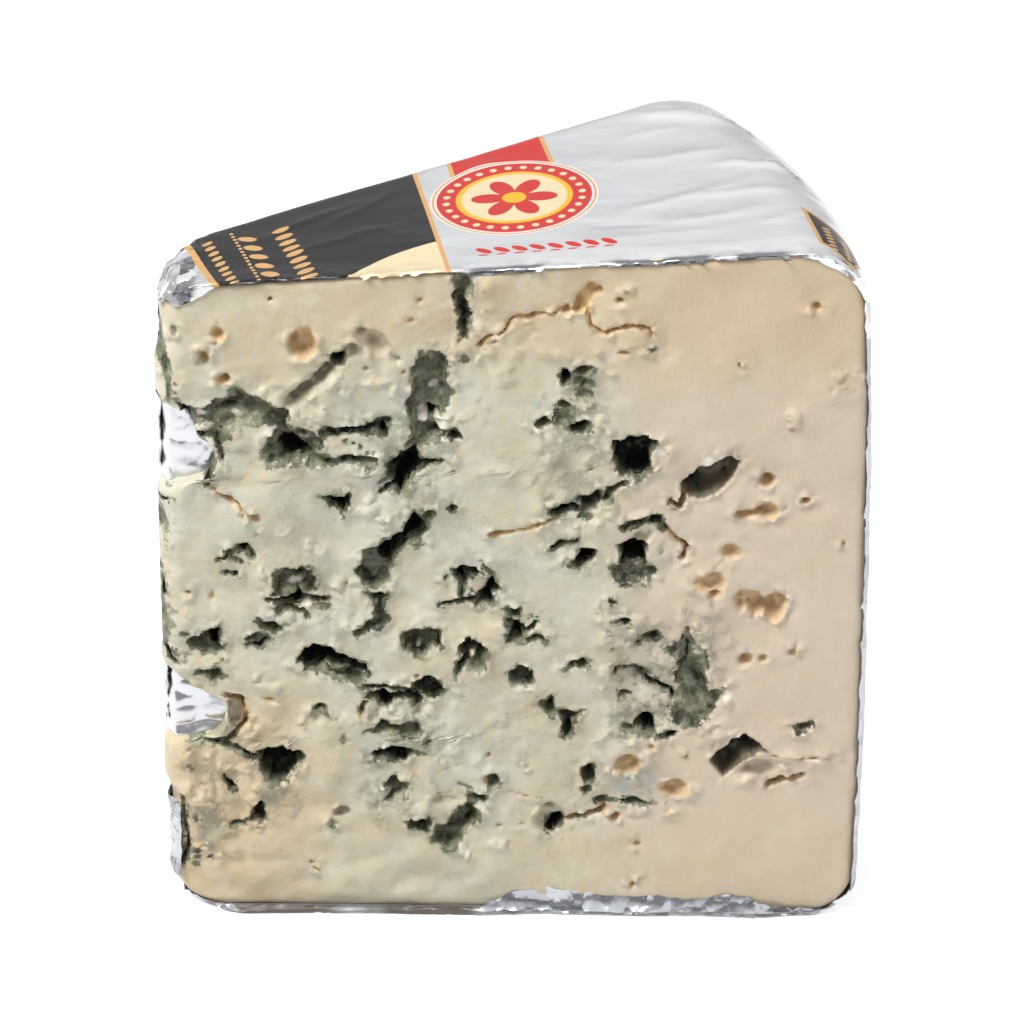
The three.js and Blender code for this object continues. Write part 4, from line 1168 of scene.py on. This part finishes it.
def foil_levels():
    near_top = np.array([0, .05, .15, .35, .65, 1, 1.5, 2.1, 2.8, 3.6, 4.5, 5.5, 6.6, 7.8, 9, 10.2])
    near_base = np.array([0, .03, .1, .25, .5, .8, 1.2, 1.7, 2.3, 3, 3.9, 5, 6.2, 7.5])
    high = HEIGHT - near_top[::-1]
    middle = np.linspace(near_base[-1], high[0], 68)[1:-1]
    return np.concatenate([near_base, middle, high])


def table_at(x, rows):
    return np.interp(x, [row[0] for row in rows], [row[1] for row in rows])


def foil_rings():
    """Rings of the foil's outer skin, and the same rings unfolded flat for the print."""
    rings = []
    for z in foil_levels():
        at = side_insets(z, 0.0, FOIL_FRONT, SHOULDER_TOP["front"], 0.01)
        plan = plan_outline(at, FOIL_COUNTS)
        x, y = plan.T
        flange = table_at(x, FLANGE_EDGE)
        lean = smooth(2.6, 0.0, z) * smooth(FOIL_FRONT + 0.9, FOIL_FRONT + 0.1, y)
        y = y + (flange - FOIL_FRONT) * lean
        rings.append(np.column_stack([x, y, sunk(x, z)]))
    rings = np.array(rings)
    base = cap_rings(rings[0], BASE_RINGS, 0.02)[::-1]
    top = cap_rings(rings[-1], TOP_RINGS, 0.015)

    middle = rings[-1][:, :2].mean(0)
    outward = rings[-1][:, :2] - middle
    outward /= np.linalg.norm(outward, axis=1)[:, None]
    flat = [rings[-1][:, :2]]
    for upper, lower in zip(rings[:0:-1], rings[-2::-1]):
        travel = np.linalg.norm(upper - lower, axis=1)[:, None]
        step = lower[:, :2] - upper[:, :2]
        across = np.linalg.norm(step, axis=1)[:, None]
        way = np.where(across > 0.02, step / np.maximum(across, 1e-6), outward)
        outward = np.where(across > 0.02, way, outward)
        flat.append(flat[-1] + way * travel)
    flat = np.array(flat[::-1])
    flat = np.concatenate([np.repeat(flat[:1], len(base), 0), flat, top[:, :, :2]])
    return np.concatenate([base, rings, top]), flat


# Sharp folds on top: start, end, width, rise
TOP_FOLDS = [
    (14, 41.5, 27, 38.5, .9, .5), (20, 43.5, 31, 36, .6, .35), (24, 26, 36, 24.5, .5, .45),
    (29, 27.5, 37, 22, .4, .4), (11, 27, 27, 30, .9, .22), (12, 13, 30, 21, 1.1, .25),
    (14, 8, 33, 13, 1.0, .2), (20, 17, 35, 18, .8, .25), (-34, 10, -18, 21, .8, .22),
    (-30, 6, -14, 14, 1.0, .18), (13, 34, 20, 37, .7, .2), (-24, 13, -15, 24, .9, .2),
    (5, 5.5, 30, 8, 1.4, .16), (-8, 27, -2, 30, .6, .2), (30, 8, 36, 12, .7, .2),
]


def foil_kept(x, y, z):
    """Above zero where the foil covers the wedge, with zero along its torn edge."""
    tear = 0.16 * noise(x / 1.1, y / 1.1, z / 1.1, 61) + 0.1 * noise(x / 0.45, y, z / 0.45, 62)
    top = sunk(x, HEIGHT)
    kept = z - (top - table_at(x, TOP_LIP) - 0.12) + 1.2 * tear
    kept = np.maximum(kept, x - table_at(z, RIM_STRIP) + 1.4 * tear)
    kept = np.maximum(kept, table_at(x, TURNED_UP) - z + 1.2 * tear)
    low_nose = np.minimum(np.minimum(15.5 - z, z - 4.4), -42.9 - x + 1.5 * tear)
    kept = np.maximum(kept, low_nose)
    side_lip = 0.2 + (NOSE_LIP - 0.2) * smooth(2.0, 4.5, top - z) * smooth(14, 16, z)
    side_lip = side_lip + NOSE_FOOT * smooth(6, 4, z) * smooth(0.5, 1.4, z)
    behind = np.where(x < -38, y - side_lip + 2 * tear, y - 0.4)
    kept = np.maximum(kept, behind)
    return kept


def crinkle_amount(x, y, z):
    """Where the foil is crumpled: round its free edges, at the nose and at the rim's corner."""
    top = sunk(x, HEIGHT)
    near_front = smooth(3.2, -0.5, y)
    amount = 0.45 * near_front
    amount = np.maximum(amount, smooth(-37, -41.5, x) * smooth(16, 5, top - z))
    amount = np.maximum(amount, smooth(38, 42, x) * smooth(5, 0, y) * smooth(14, 2, top - z))
    amount = np.maximum(amount, smooth(-36, -43, x) * smooth(12, 3, y))
    amount = np.maximum(amount, smooth(5, 0.5, z) * 0.52 * near_front)
    amount = np.maximum(amount, 0.35 * smooth(8, 1, z))
    return amount


def fold_ridges(x, y):
    """Height of the sharp folds pressed into the top."""
    total = np.zeros(x.shape)
    for x0, y0, x1, y1, width, rise in TOP_FOLDS:
        length = math.hypot(x1 - x0, y1 - y0)
        along = ((x - x0) * (x1 - x0) + (y - y0) * (y1 - y0)) / length
        across = ((y - y0) * (x1 - x0) - (x - x0) * (y1 - y0)) / length
        across = across + 0.5 * noise(along / 3.1, 0 * x, 0 * x, int(40 + x0))
        taper = smooth(-1, 0.3 * length, along) * smooth(length + 1, 0.7 * length, along)
        total += rise * taper * np.exp(-np.abs(across / width) ** 1.4)
    return total


def foil_wrinkles(x, y, z, flat_x, flat_y, crumpled):
    """How far the foil lies inside its smooth shape."""
    soft = 0.5 + 0.5 * fractal(flat_x / 3.2, flat_y, 0 * x, 5.5, 3, 201)
    folds = creases(flat_x * 0.45 + flat_y * 0.25, flat_y * 1.25 - flat_x * 0.2, 0 * x, 6.5, 211)
    folds = folds * smooth(0.1, 0.6, noise(flat_x / 14, flat_y / 14, 0 * x, 213))
    sheet = 0.26 * soft + 0.2 * folds
    sheet = sheet - smooth(6, 2, sunk(x, HEIGHT) - z) * fold_ridges(flat_x, flat_y) + 0.3
    wall = smooth(2, 9, sunk(x, HEIGHT) - z)
    upright = creases(flat_x * 0.6, flat_y * 0.6, z * 0.22, 5, 221)
    sheet += wall * 0.2 * upright
    crush = 0.32 * creases(x, y, z, 1.9, 231) + 0.3 * creases(x, y, z, 3.3, 233)
    return sheet * (1 - 0.5 * crumpled) + crush * crumpled


def tear_edges(piece):
    """Cut the foil away from the cut face and pull its edge onto the torn outline."""
    mesh = piece.data
    middles = face_middles(mesh)
    gone = foil_kept(*middles.T) < 0
    select_faces(mesh, gone)
    deselect()
    bpy.context.view_layer.objects.active = piece
    bpy.ops.object.mode_set(mode="EDIT")
    bpy.ops.mesh.delete(type="FACE")
    bpy.ops.mesh.select_all(action="DESELECT")
    bpy.ops.mesh.select_non_manifold(extend=False)
    bpy.ops.object.mode_set(mode="OBJECT")
    on_edge = np.empty(len(mesh.vertices), bool)
    mesh.vertices.foreach_get("select", on_edge)
    points = points_of(mesh)
    small = 0.05
    for _ in range(2):
        here = points[on_edge]
        value = foil_kept(*here.T)
        slope = np.stack([
            (foil_kept(*(here + small * np.eye(3)[axis]).T) - value) / small for axis in range(3)
        ], 1)
        slope[:, 1] = np.where(here[:, 1] < 2, 0, slope[:, 1])
        steep = np.maximum((slope ** 2).sum(1), 0.25)
        move = -(value / steep)[:, None] * slope
        length = np.linalg.norm(move, axis=1)[:, None]
        points[on_edge] = here + move * np.minimum(1, 0.4 / np.maximum(length, 1e-6))
    move_points(mesh, points)


def make_foil():
    rings, flat = foil_rings()
    piece = wrapped_shell("printed_foil", rings)
    mesh = piece.data
    closed = np.concatenate([flat, flat[:, :1]], 1).reshape(-1, 2)
    every = np.concatenate([rings, rings[:, :1]], 1).reshape(-1, 3)
    order = nearest_rows(points_of(mesh), every)
    keep_values(mesh, "print_x", closed[order, 0])
    keep_values(mesh, "print_y", closed[order, 1])
    tear_edges(piece)

    points = points_of(mesh)
    x, y, z = points.T
    flat_x, flat_y = read_values(mesh, "print_x"), read_values(mesh, "print_y")
    crumpled = crinkle_amount(x, y, z)
    inward = foil_wrinkles(x, y, z, flat_x, flat_y, crumpled)
    normals = np.empty(len(mesh.vertices) * 3)
    mesh.vertex_normals.foreach_get("vector", normals)
    normals = normals.reshape(-1, 3)
    on_floor = smooth(0.02, 0.6, z)
    on_floor = np.where((z < 0.3) & (y < 0.5), 0.6, on_floor)
    points -= normals * (inward * on_floor)[:, None]
    crest = smooth(3.6, 0.4, y) * (points[:, 2] > sunk(x, HEIGHT) - 1.2) * smooth(-9, -4, x)
    points[:, 2] -= 0.35 * crest
    points[:, 2] = np.maximum(points[:, 2], 0.16)
    points[:, 0] += rim_bulge(x, y, z)
    move_points(mesh, points)
    drop = sunk(x, HEIGHT) - z
    fold = smooth(0.9, 0.3, y) * smooth(0.25, 0.5, drop) * smooth(2.5, 1.2, drop)
    spans = sum(smooth(a - 0.6, a + 0.6, x) * smooth(b + 0.6, b - 0.6, x) for a, b in DARK_FOLDS)
    # Painted shade: the turned-down foil along the top front edge is darkened where it lies in shade
    keep_values(mesh, "folded", 0.85 * fold * np.minimum(spans, 1))
    # Painted reflection and shade: part of the flange is painted the cheese's brown as seen in shaded
    # foil, with bright bits left silver
    flange = smooth(1.4, 0.7, z) * smooth(0.6, -0.4, y) * smooth(-41, -38.5, x) * smooth(-3, -6, x)
    bright = smooth(0.1, 0.4, fractal(x, 0 * x, 0 * x, 6, 3, 311))
    keep_values(mesh, "painted_reflection", 0.9 * flange * (1 - 0.8 * bright))
    keep_values(mesh, "crumpled", crumpled * (1 - 0.8 * flange))
    # on_top marks the top, where the print lies; below it the foil is painted darker as shade down the
    # sides
    reach = 5 + 8 * smooth(30, 38, x)
    keep_values(mesh, "on_top", smooth(reach + 0.8, reach - 0.8, sunk(x, HEIGHT) - z))

    join_patches(piece, [foil_behind_break(*row) for row in FOIL_BEHIND])
    thicken = piece.modifiers.new("sheet", "SOLIDIFY")
    thicken.thickness = FOIL_THICK * MM
    thicken.offset = -1
    deselect()
    piece.select_set(True)
    bpy.context.view_layer.objects.active = piece
    bpy.ops.object.modifier_apply(modifier="sheet")
    smooth_shading(piece, 70)
    return piece


def foil_behind_break(low, high, seed):
    """A crumpled piece of foil seen where the nose has broken away, between two heights."""
    deselect()
    bpy.ops.mesh.primitive_grid_add(x_subdivisions=36, y_subdivisions=44, size=1)
    patch = bpy.context.object
    flat = points_of(patch.data)
    across = (flat[:, 0] - flat[:, 0].min()) / np.ptp(flat[:, 0])
    up = (flat[:, 1] - flat[:, 1].min()) / np.ptp(flat[:, 1])
    x = NOSE_X + 0.25 + 8.2 * across
    z = low + (high - low) * up
    folds = creases(x * 0.8 + z * 0.3, 0 * x, z, 3.4, seed)
    small = creases(x, 0 * x + 3, z, 1.6, seed + 1)
    y = 2.6 + 0.5 * folds + 0.16 * small + 3.2 * smooth(0.2, 0.0, across) + 1.2 * (up - 0.5)
    move_points(patch.data, np.column_stack([x, y, z]))
    bpy.ops.object.mode_set(mode="EDIT")
    bpy.ops.mesh.select_all(action="SELECT")
    bpy.ops.mesh.flip_normals()
    bpy.ops.object.mode_set(mode="OBJECT")
    count = len(patch.data.vertices)
    # An on_top of 0.5 paints this piece half way towards the painted shade of the sides
    for name, value in (("print_x", -70.0), ("print_y", -40.0), ("on_top", 0.5), ("crumpled", 0.3),
                        ("painted_reflection", 0), ("folded", 0)):
        keep_values(patch.data, name, np.full(count, value))
    return patch


def join_patches(piece, patches):
    deselect()
    for patch in patches:
        patch.select_set(True)
    piece.select_set(True)
    bpy.context.view_layer.objects.active = piece
    bpy.ops.object.join()


def nearest_rows(points, rows):
    """For each point, the row at the same place."""
    def keys(values):
        whole = np.round(values * 200).astype(np.int64) + 200000
        return (whole[:, 0] * 1000003 + whole[:, 1]) * 1000003 + whole[:, 2]

    row_keys, point_keys = keys(rows), keys(points)
    sorter = np.argsort(row_keys, kind="stable")
    found = np.searchsorted(row_keys[sorter], point_keys).clip(0, len(rows) - 1)
    exact = sorter[found]
    missed = np.flatnonzero(row_keys[exact] != point_keys)
    for i in missed:
        exact[i] = int(((rows - points[i]) ** 2).sum(1).argmin())
    return exact


# Colours of the foil and its print
FOIL_SILVER = (0.71, 0.715, 0.725, 1.0)
# Painted shade: a darker copy of the silver, for the shade down the foil's sides
FOIL_SIDE_SHADE = (0.50, 0.515, 0.545, 1.0)
FOIL_SHADOW = (0.13, 0.135, 0.15, 1.0)
# Painted reflection: the cheese's brown as seen in the shaded foil of the flange
FOIL_PAINTED_REFLECTION = shade(68, 57, 39)
INK_BLACK = shade(20, 18, 19)
INK_GOLD = shade(184, 142, 88)
INK_CREAM = shade(200, 184, 150)
INK_RED = shade(176, 30, 24)
INK_YELLOW = shade(222, 158, 20)
INK_PALE = shade(206, 197, 197)

# The print, in millimetres on the unfolded foil. Lines run from their upper to their lower end
PRINT_EDGE = 0.06
BORDER = ((-41.4, 12.2), (-36.6, -1.1))
GOLD_LINE = ((-13.2, 27.7), (-8.3, 1.2))
CREAM_SWEEP = (-3.0, -12.0)
SWEEP_RADIUS = 21.0
RED_LEFT = ((-9.2, 30.9), (-8.2, 25.4))
RED_RIGHT = ((2.6, 36.1), (4.8, 25.0))
RED_FOOT = 25.0
TRIM_FOOT = 24.6
LABEL = [(35.0, 12.8), (37.4, 3.0), (42.6, 0.6), (44.4, 3.5), (42.5, 8.5)]
LABEL_TRIM = 0.6

# A plain round flower medallion: its middle, and the radius of each ring from the outside
MEDAL = (-0.45, 19.0)
MEDAL_RADIUS = 10.5
MEDAL_LINE = 10.15
MEDAL_RINGS = [(9.7, INK_RED), (7.3, INK_YELLOW), (6.6, INK_CREAM)]
BEAD_RING = 8.5
BEAD_COUNT = 28
PETAL_COUNT = 6
PETAL_ROOT, PETAL_LENGTH = 2.0, 3.4
FLOWER_EYE = 1.5

# Rows of leaves: start, end, pitch, leaf length, leaf width, lean
GOLD_ROWS = [
    ((-38.6, 11.6), (-34.4, -.4), 1.5, .9, 1.5, .35),
    ((-35.6, 13.6), (-31.2, -.2), .9, .55, .5, 0),
    ((-33.8, 12.6), (-29.8, .8), 2.6, 1.5, 2.1, -.5),
    ((-29.6, 14.0), (-25.0, -.2), 1.7, 1.1, 2.4, .3),
]
RED_ROWS = [
    ((-5, 4.6), (12.6, 5.4), 2.2, 1.5, 1.7, .8),
    ((-5, 3.4), (12.6, 4.2), 2.2, 1.4, .35, 0),
]
LABEL_ROWS = [
    ((38.4, 8.5), (40.4, -1.6), .9, .6, 1.3, .2),
    ((41.2, 7.4), (42.6, -1.6), .9, .6, 1.1, .2),
]

# Crumpled facets: their size in mm, then the scale of the jitter's noise and its reach in metres
SHARD_SIZE = 2.1
JITTER_SCALE = 420.0
JITTER_REACH = 0.0022


class FoilFinish(Finish):
    """The foil's material: inks laid one by one over the bare metal."""

    def __init__(self):
        super().__init__("printed_cheese_foil")
        self.px, self.py = self.stored("print_x"), self.stored("print_y")
        self.on_top = self.between(self.stored("on_top"), 0.45, 0.55)
        self.crumpled = self.stored("crumpled")
        self.painted_reflection = self.stored("painted_reflection")
        jitter = self.add("TexNoise", Vector=self.place, Scale=JITTER_SCALE).outputs["Color"]
        jitter = self.vectors("SCALE", jitter, scale=JITTER_REACH)
        self.shards = self.cells(SHARD_SIZE, self.vectors("ADD", self.place, jitter))["Color"]
        self.colour = self.bare_metal()
        self.ink = None

    def bare_metal(self):
        """Silver with painted shade down the sides, in crumpled facets and in folds,
        and a painted brown reflection of the cheese in shade on part of the flange.
        """
        # Painted shade down the sides: below the top the silver turns to the darker side colour
        silver = self.blend(self.on_top, FOIL_SIDE_SHADE, FOIL_SILVER)
        # Painted shade: some facets of the crumpled foil are darkened towards the shadow colour
        painted_shade_facets = self.times(self.between(self.parts(self.shards)[0], 0.5, 0.2, 0.0, 0.75),
                                 self.between(self.crumpled, 0.3, 0.7))
        silver = self.blend(painted_shade_facets, silver, FOIL_SHADOW)
        # Painted shade where the turned-down foil lies in shade along the top front edge
        silver = self.blend(self.stored("folded"), silver, FOIL_SHADOW)
        # Painted brown reflection of the cheese, in shade, on part of the flange
        return self.blend(self.painted_reflection, silver, FOIL_PAINTED_REFLECTION)

    def lay(self, mask, tone, new=False):
        """Lay an ink over the colour. It is new where no ink lies under it yet."""
        self.colour = self.blend(mask, self.colour, tone)
        if new:
            self.ink = mask if self.ink is None else self.most(self.ink, mask)

    def beside(self, line):
        """Distance to the right of a line drawn downwards."""
        (ax, ay), (bx, by) = line
        length = math.hypot(bx - ax, by - ay)
        nx, ny = -(by - ay) / length, (bx - ax) / length
        across = self.times_plus(self.py, ny, self.times(self.px, nx))
        return self.minus(across, ax * nx + ay * ny)

    def inside(self, distance):
        return self.between(distance, -PRINT_EDGE, PRINT_EDGE, 1.0, 0.0, "LINEAR")

    def outside(self, distance):
        return self.inside(self.times(distance, -1.0))

    def within(self, radius, reach):
        return self.inside(self.minus(radius, reach))

    def stripe(self, distance, width):
        return self.within(self.maths("ABSOLUTE", distance), width / 2)

    def round(self, centre):
        """Distance from a centre and the angle round it."""
        dx, dy = self.minus(self.px, centre[0]), self.minus(self.py, centre[1])
        squares = self.times_plus(dx, dx, self.times(dy, dy))
        return self.maths("SQRT", squares), self.maths("ARCTAN2", dy, dx)

    def leaf_row(self, start, end, pitch, long, wide, lean):
        """A row of small leaf shapes from start to end."""
        length = math.hypot(end[0] - start[0], end[1] - start[1])
        tx, ty = (end[0] - start[0]) / length, (end[1] - start[1]) / length
        along = self.times_plus(self.py, ty, self.times(self.px, tx))
        along = self.minus(along, start[0] * tx + start[1] * ty)
        across = self.times_plus(self.px, -ty, self.times(self.py, tx))
        across = self.minus(across, start[1] * tx - start[0] * ty)
        slid = self.times_plus(across, lean, along)
        beat = self.minus(self.maths("FLOORED_MODULO", slid, pitch), pitch / 2)
        u = self.maths("DIVIDE", beat, long / 2)
        v = self.maths("DIVIDE", across, wide / 2)
        leaf = self.between(self.times_plus(u, u, self.times(v, v)), 0.85, 1.15, 1.0, 0.0, "LINEAR")
        middle = self.maths("ABSOLUTE", self.minus(along, length / 2))
        return self.times(leaf, self.within(middle, length / 2))

    def leaf_rows(self, rows):
        return self.most(*[self.leaf_row(*row) for row in rows])

    def black_field(self):
        """Black between the border and the gold line, with a cream sweep and rows of gold leaves."""
        border, gold = self.beside(BORDER), self.beside(GOLD_LINE)
        field = self.times(self.outside(border), self.inside(gold), self.on_top)
        self.lay(field, INK_BLACK, new=True)
        self.lay(self.times(field, self.within(self.round(CREAM_SWEEP)[0], SWEEP_RADIUS)), INK_CREAM)
        self.lay(self.times(self.leaf_rows(GOLD_ROWS), field), INK_GOLD)
        return self.most(self.stripe(border, 0.9), self.stripe(gold, 0.6))

    def red_patch(self, trims):
        """Red between two gold lines, and all gold lines."""
        left, right = self.beside(RED_LEFT), self.beside(RED_RIGHT)
        red = self.times(self.outside(left), self.inside(right), self.on_top)
        self.lay(self.times(red, self.inside(self.minus(RED_FOOT, self.py))), INK_RED, new=True)
        edges = self.most(self.stripe(left, 0.6), self.stripe(right, 0.6))
        edges = self.times(edges, self.inside(self.minus(TRIM_FOOT, self.py)))
        self.lay(self.times(self.most(trims, edges), self.on_top), INK_GOLD, new=True)

    def medallion(self):
        """A red band with pale beads round a cream field with a red flower."""
        radius, angle = self.round(MEDAL)
        self.lay(self.within(radius, MEDAL_RADIUS), INK_PALE, new=True)
        self.lay(self.stripe(self.minus(radius, MEDAL_LINE), 0.3), INK_GOLD)
        band, *inner = MEDAL_RINGS
        self.lay(self.within(radius, band[0]), band[1])
        turn = self.times(self.plus(angle, math.pi), BEAD_COUNT / (2 * math.pi))
        along = self.minus(self.maths("FRACT", turn), 0.5)
        along = self.times(along, 2 * math.pi * BEAD_RING / BEAD_COUNT)
        out = self.minus(radius, BEAD_RING)
        bead = self.times_plus(along, along, self.times(out, out))
        self.lay(self.between(bead, 0.16, 0.26, 1.0, 0.0), INK_CREAM)
        for reach, tone in inner:
            self.lay(self.within(radius, reach), tone)
        petal = self.maths("ABSOLUTE", self.maths("COSINE", self.times(angle, PETAL_COUNT / 2)))
        self.lay(self.within(radius, self.times_plus(petal, PETAL_LENGTH, PETAL_ROOT)), INK_RED)
        self.lay(self.within(radius, FLOWER_EYE), INK_YELLOW)

    def rim_label(self):
        """A small black label with a gold edge and two rows of gold dashes."""
        corners = zip(LABEL, LABEL[1:] + LABEL[:1])
        walls = self.most(*[self.beside((b, a)) for a, b in corners])
        label = self.times(self.inside(walls), self.on_top)
        self.lay(label, INK_GOLD, new=True)
        self.lay(self.times(self.inside(self.plus(walls, LABEL_TRIM)), self.on_top), INK_BLACK)
        self.lay(self.times(self.leaf_rows(LABEL_ROWS), label), INK_GOLD)

    def wrinkles(self):
        """Soft ripples, with sharp little facets where the foil is crumpled."""
        ripples = self.cloud(7, 2, 0.45, 0.8, self.stretched((0.55, 1.0, 0.8), -20))
        crush = self.times_plus(self.cells(3.4)["Distance"], 1.4, self.cells(1.7)["Distance"])
        height = self.times_plus(ripples, 0.9, self.times(self.cloud(1.1, 3, 0.6), 0.05))
        return self.plus(height, self.times(crush, self.crumpled))


def foil_finish():
    f = FoilFinish()
    f.red_patch(f.black_field())
    f.medallion()
    f.lay(f.leaf_rows(RED_ROWS), INK_RED, new=True)
    f.rim_label()
    f.give("Base Color", f.colour)
    # Less metallic and rougher where the brown reflection is painted
    f.give("Metallic", f.blend_number(f.most(f.ink, f.painted_reflection), 0.93, 0.35))
    rough = f.between(f.cloud(9, 3), 0.3, 0.7, 0.26, 0.36)
    rough = f.blend_number(f.ink, f.blend_number(f.crumpled, rough, 0.16), 0.3)
    f.give("Roughness", f.blend_number(f.painted_reflection, rough, 0.5))
    turned = f.tilted(f.shards, f.times(f.between(f.crumpled, 0.25, 0.8), 0.9))
    f.give("Normal", f.bump(f.wrinkles(), 0.5, 0.5, turned))
    return f.material


# Stage: pale floor, even sky, one broad lamp, and the camera

FLOOR_SIZE = 6.0
FLOOR_GREYS = (0.39, 0.41)
FLOOR_GLOW = 0.68
SKY = (0.5, 1.13)
DIM_FRONT = 0.2
KEY_PLACE = (-0.42, -0.27, 0.82)
KEY_AIM = (0, 0, 0.05)
KEY_SIZE = 0.34
KEY_POWER = 11.6


def make_stage():
    deselect()
    bpy.ops.mesh.primitive_plane_add(size=FLOOR_SIZE)
    floor = bpy.context.object
    floor.name = "floor"
    f = Finish("white_sweep")
    dark, light = [(grey, grey, grey, 1) for grey in FLOOR_GREYS]
    f.give("Base Color", f.blend(f.cloud(900, 2), dark, light))
    f.give("Roughness", 0.9)
    f.give("Emission Color", (1, 1, 1, 1))
    f.give("Emission Strength", FLOOR_GLOW)
    floor.data.materials.append(f.material)


def make_key():
    data = bpy.data.lights.new("key", "AREA")
    data.energy = KEY_POWER
    data.size = KEY_SIZE
    lamp = bpy.data.objects.new("key", data)
    lamp.location = KEY_PLACE
    away = Vector(KEY_AIM) - Vector(KEY_PLACE)
    lamp.rotation_euler = away.to_track_quat("-Z", "Y").to_euler()
    bpy.context.scene.collection.objects.link(lamp)


def make_sky():
    """A soft sky, dim only low down in front."""
    world = bpy.data.worlds.new("studio")
    world.use_nodes = True
    sky = Nodes(world.node_tree)
    parts = sky.parts(sky.add("TexCoord").outputs["Generated"])
    height = sky.between(parts["Z"], -0.1, 0.9, *SKY)
    in_front = sky.between(parts["Y"], -0.75, -0.2, DIM_FRONT, 1.0)
    overhead = sky.between(parts["Z"], 0.25, 0.65, DIM_FRONT, 1.0)
    background = world.node_tree.nodes["Background"].inputs
    background["Color"].default_value = (1, 1, 1, 1)
    sky.feed(background["Strength"], sky.times(height, sky.most(in_front, overhead)))
    bpy.context.scene.world = world
    bpy.context.scene.view_settings.view_transform = "Standard"


CAMERA_TARGET = (-0.12, -24.119, 58.03)
CAMERA_TURN = math.radians(1.2)
CAMERA_RISE = math.radians(28.6)
CAMERA_DISTANCE = 872.8
CAMERA_LENS = 246.4


def make_camera():
    data = bpy.data.cameras.new("camera")
    data.lens = CAMERA_LENS
    data.sensor_width = 36
    camera = bpy.data.objects.new("camera", data)
    back = Vector((
        math.sin(CAMERA_TURN) * math.cos(CAMERA_RISE),
        -math.cos(CAMERA_TURN) * math.cos(CAMERA_RISE),
        math.sin(CAMERA_RISE),
    ))
    camera.location = (Vector(CAMERA_TARGET) + back * CAMERA_DISTANCE) * MM
    camera.rotation_euler = (-back).to_track_quat("-Z", "Y").to_euler()
    bpy.context.scene.collection.objects.link(camera)
    bpy.context.scene.camera = camera


make_camera()
make_sky()
make_key()
make_stage()

cheese = make_cheese()
cheese.data.materials.append(cheese_finish())
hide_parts("cheese")
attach(cheese, "root")

foil = make_foil()
foil.data.materials.append(foil_finish())
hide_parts("foil_wrap")
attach(foil, "root")
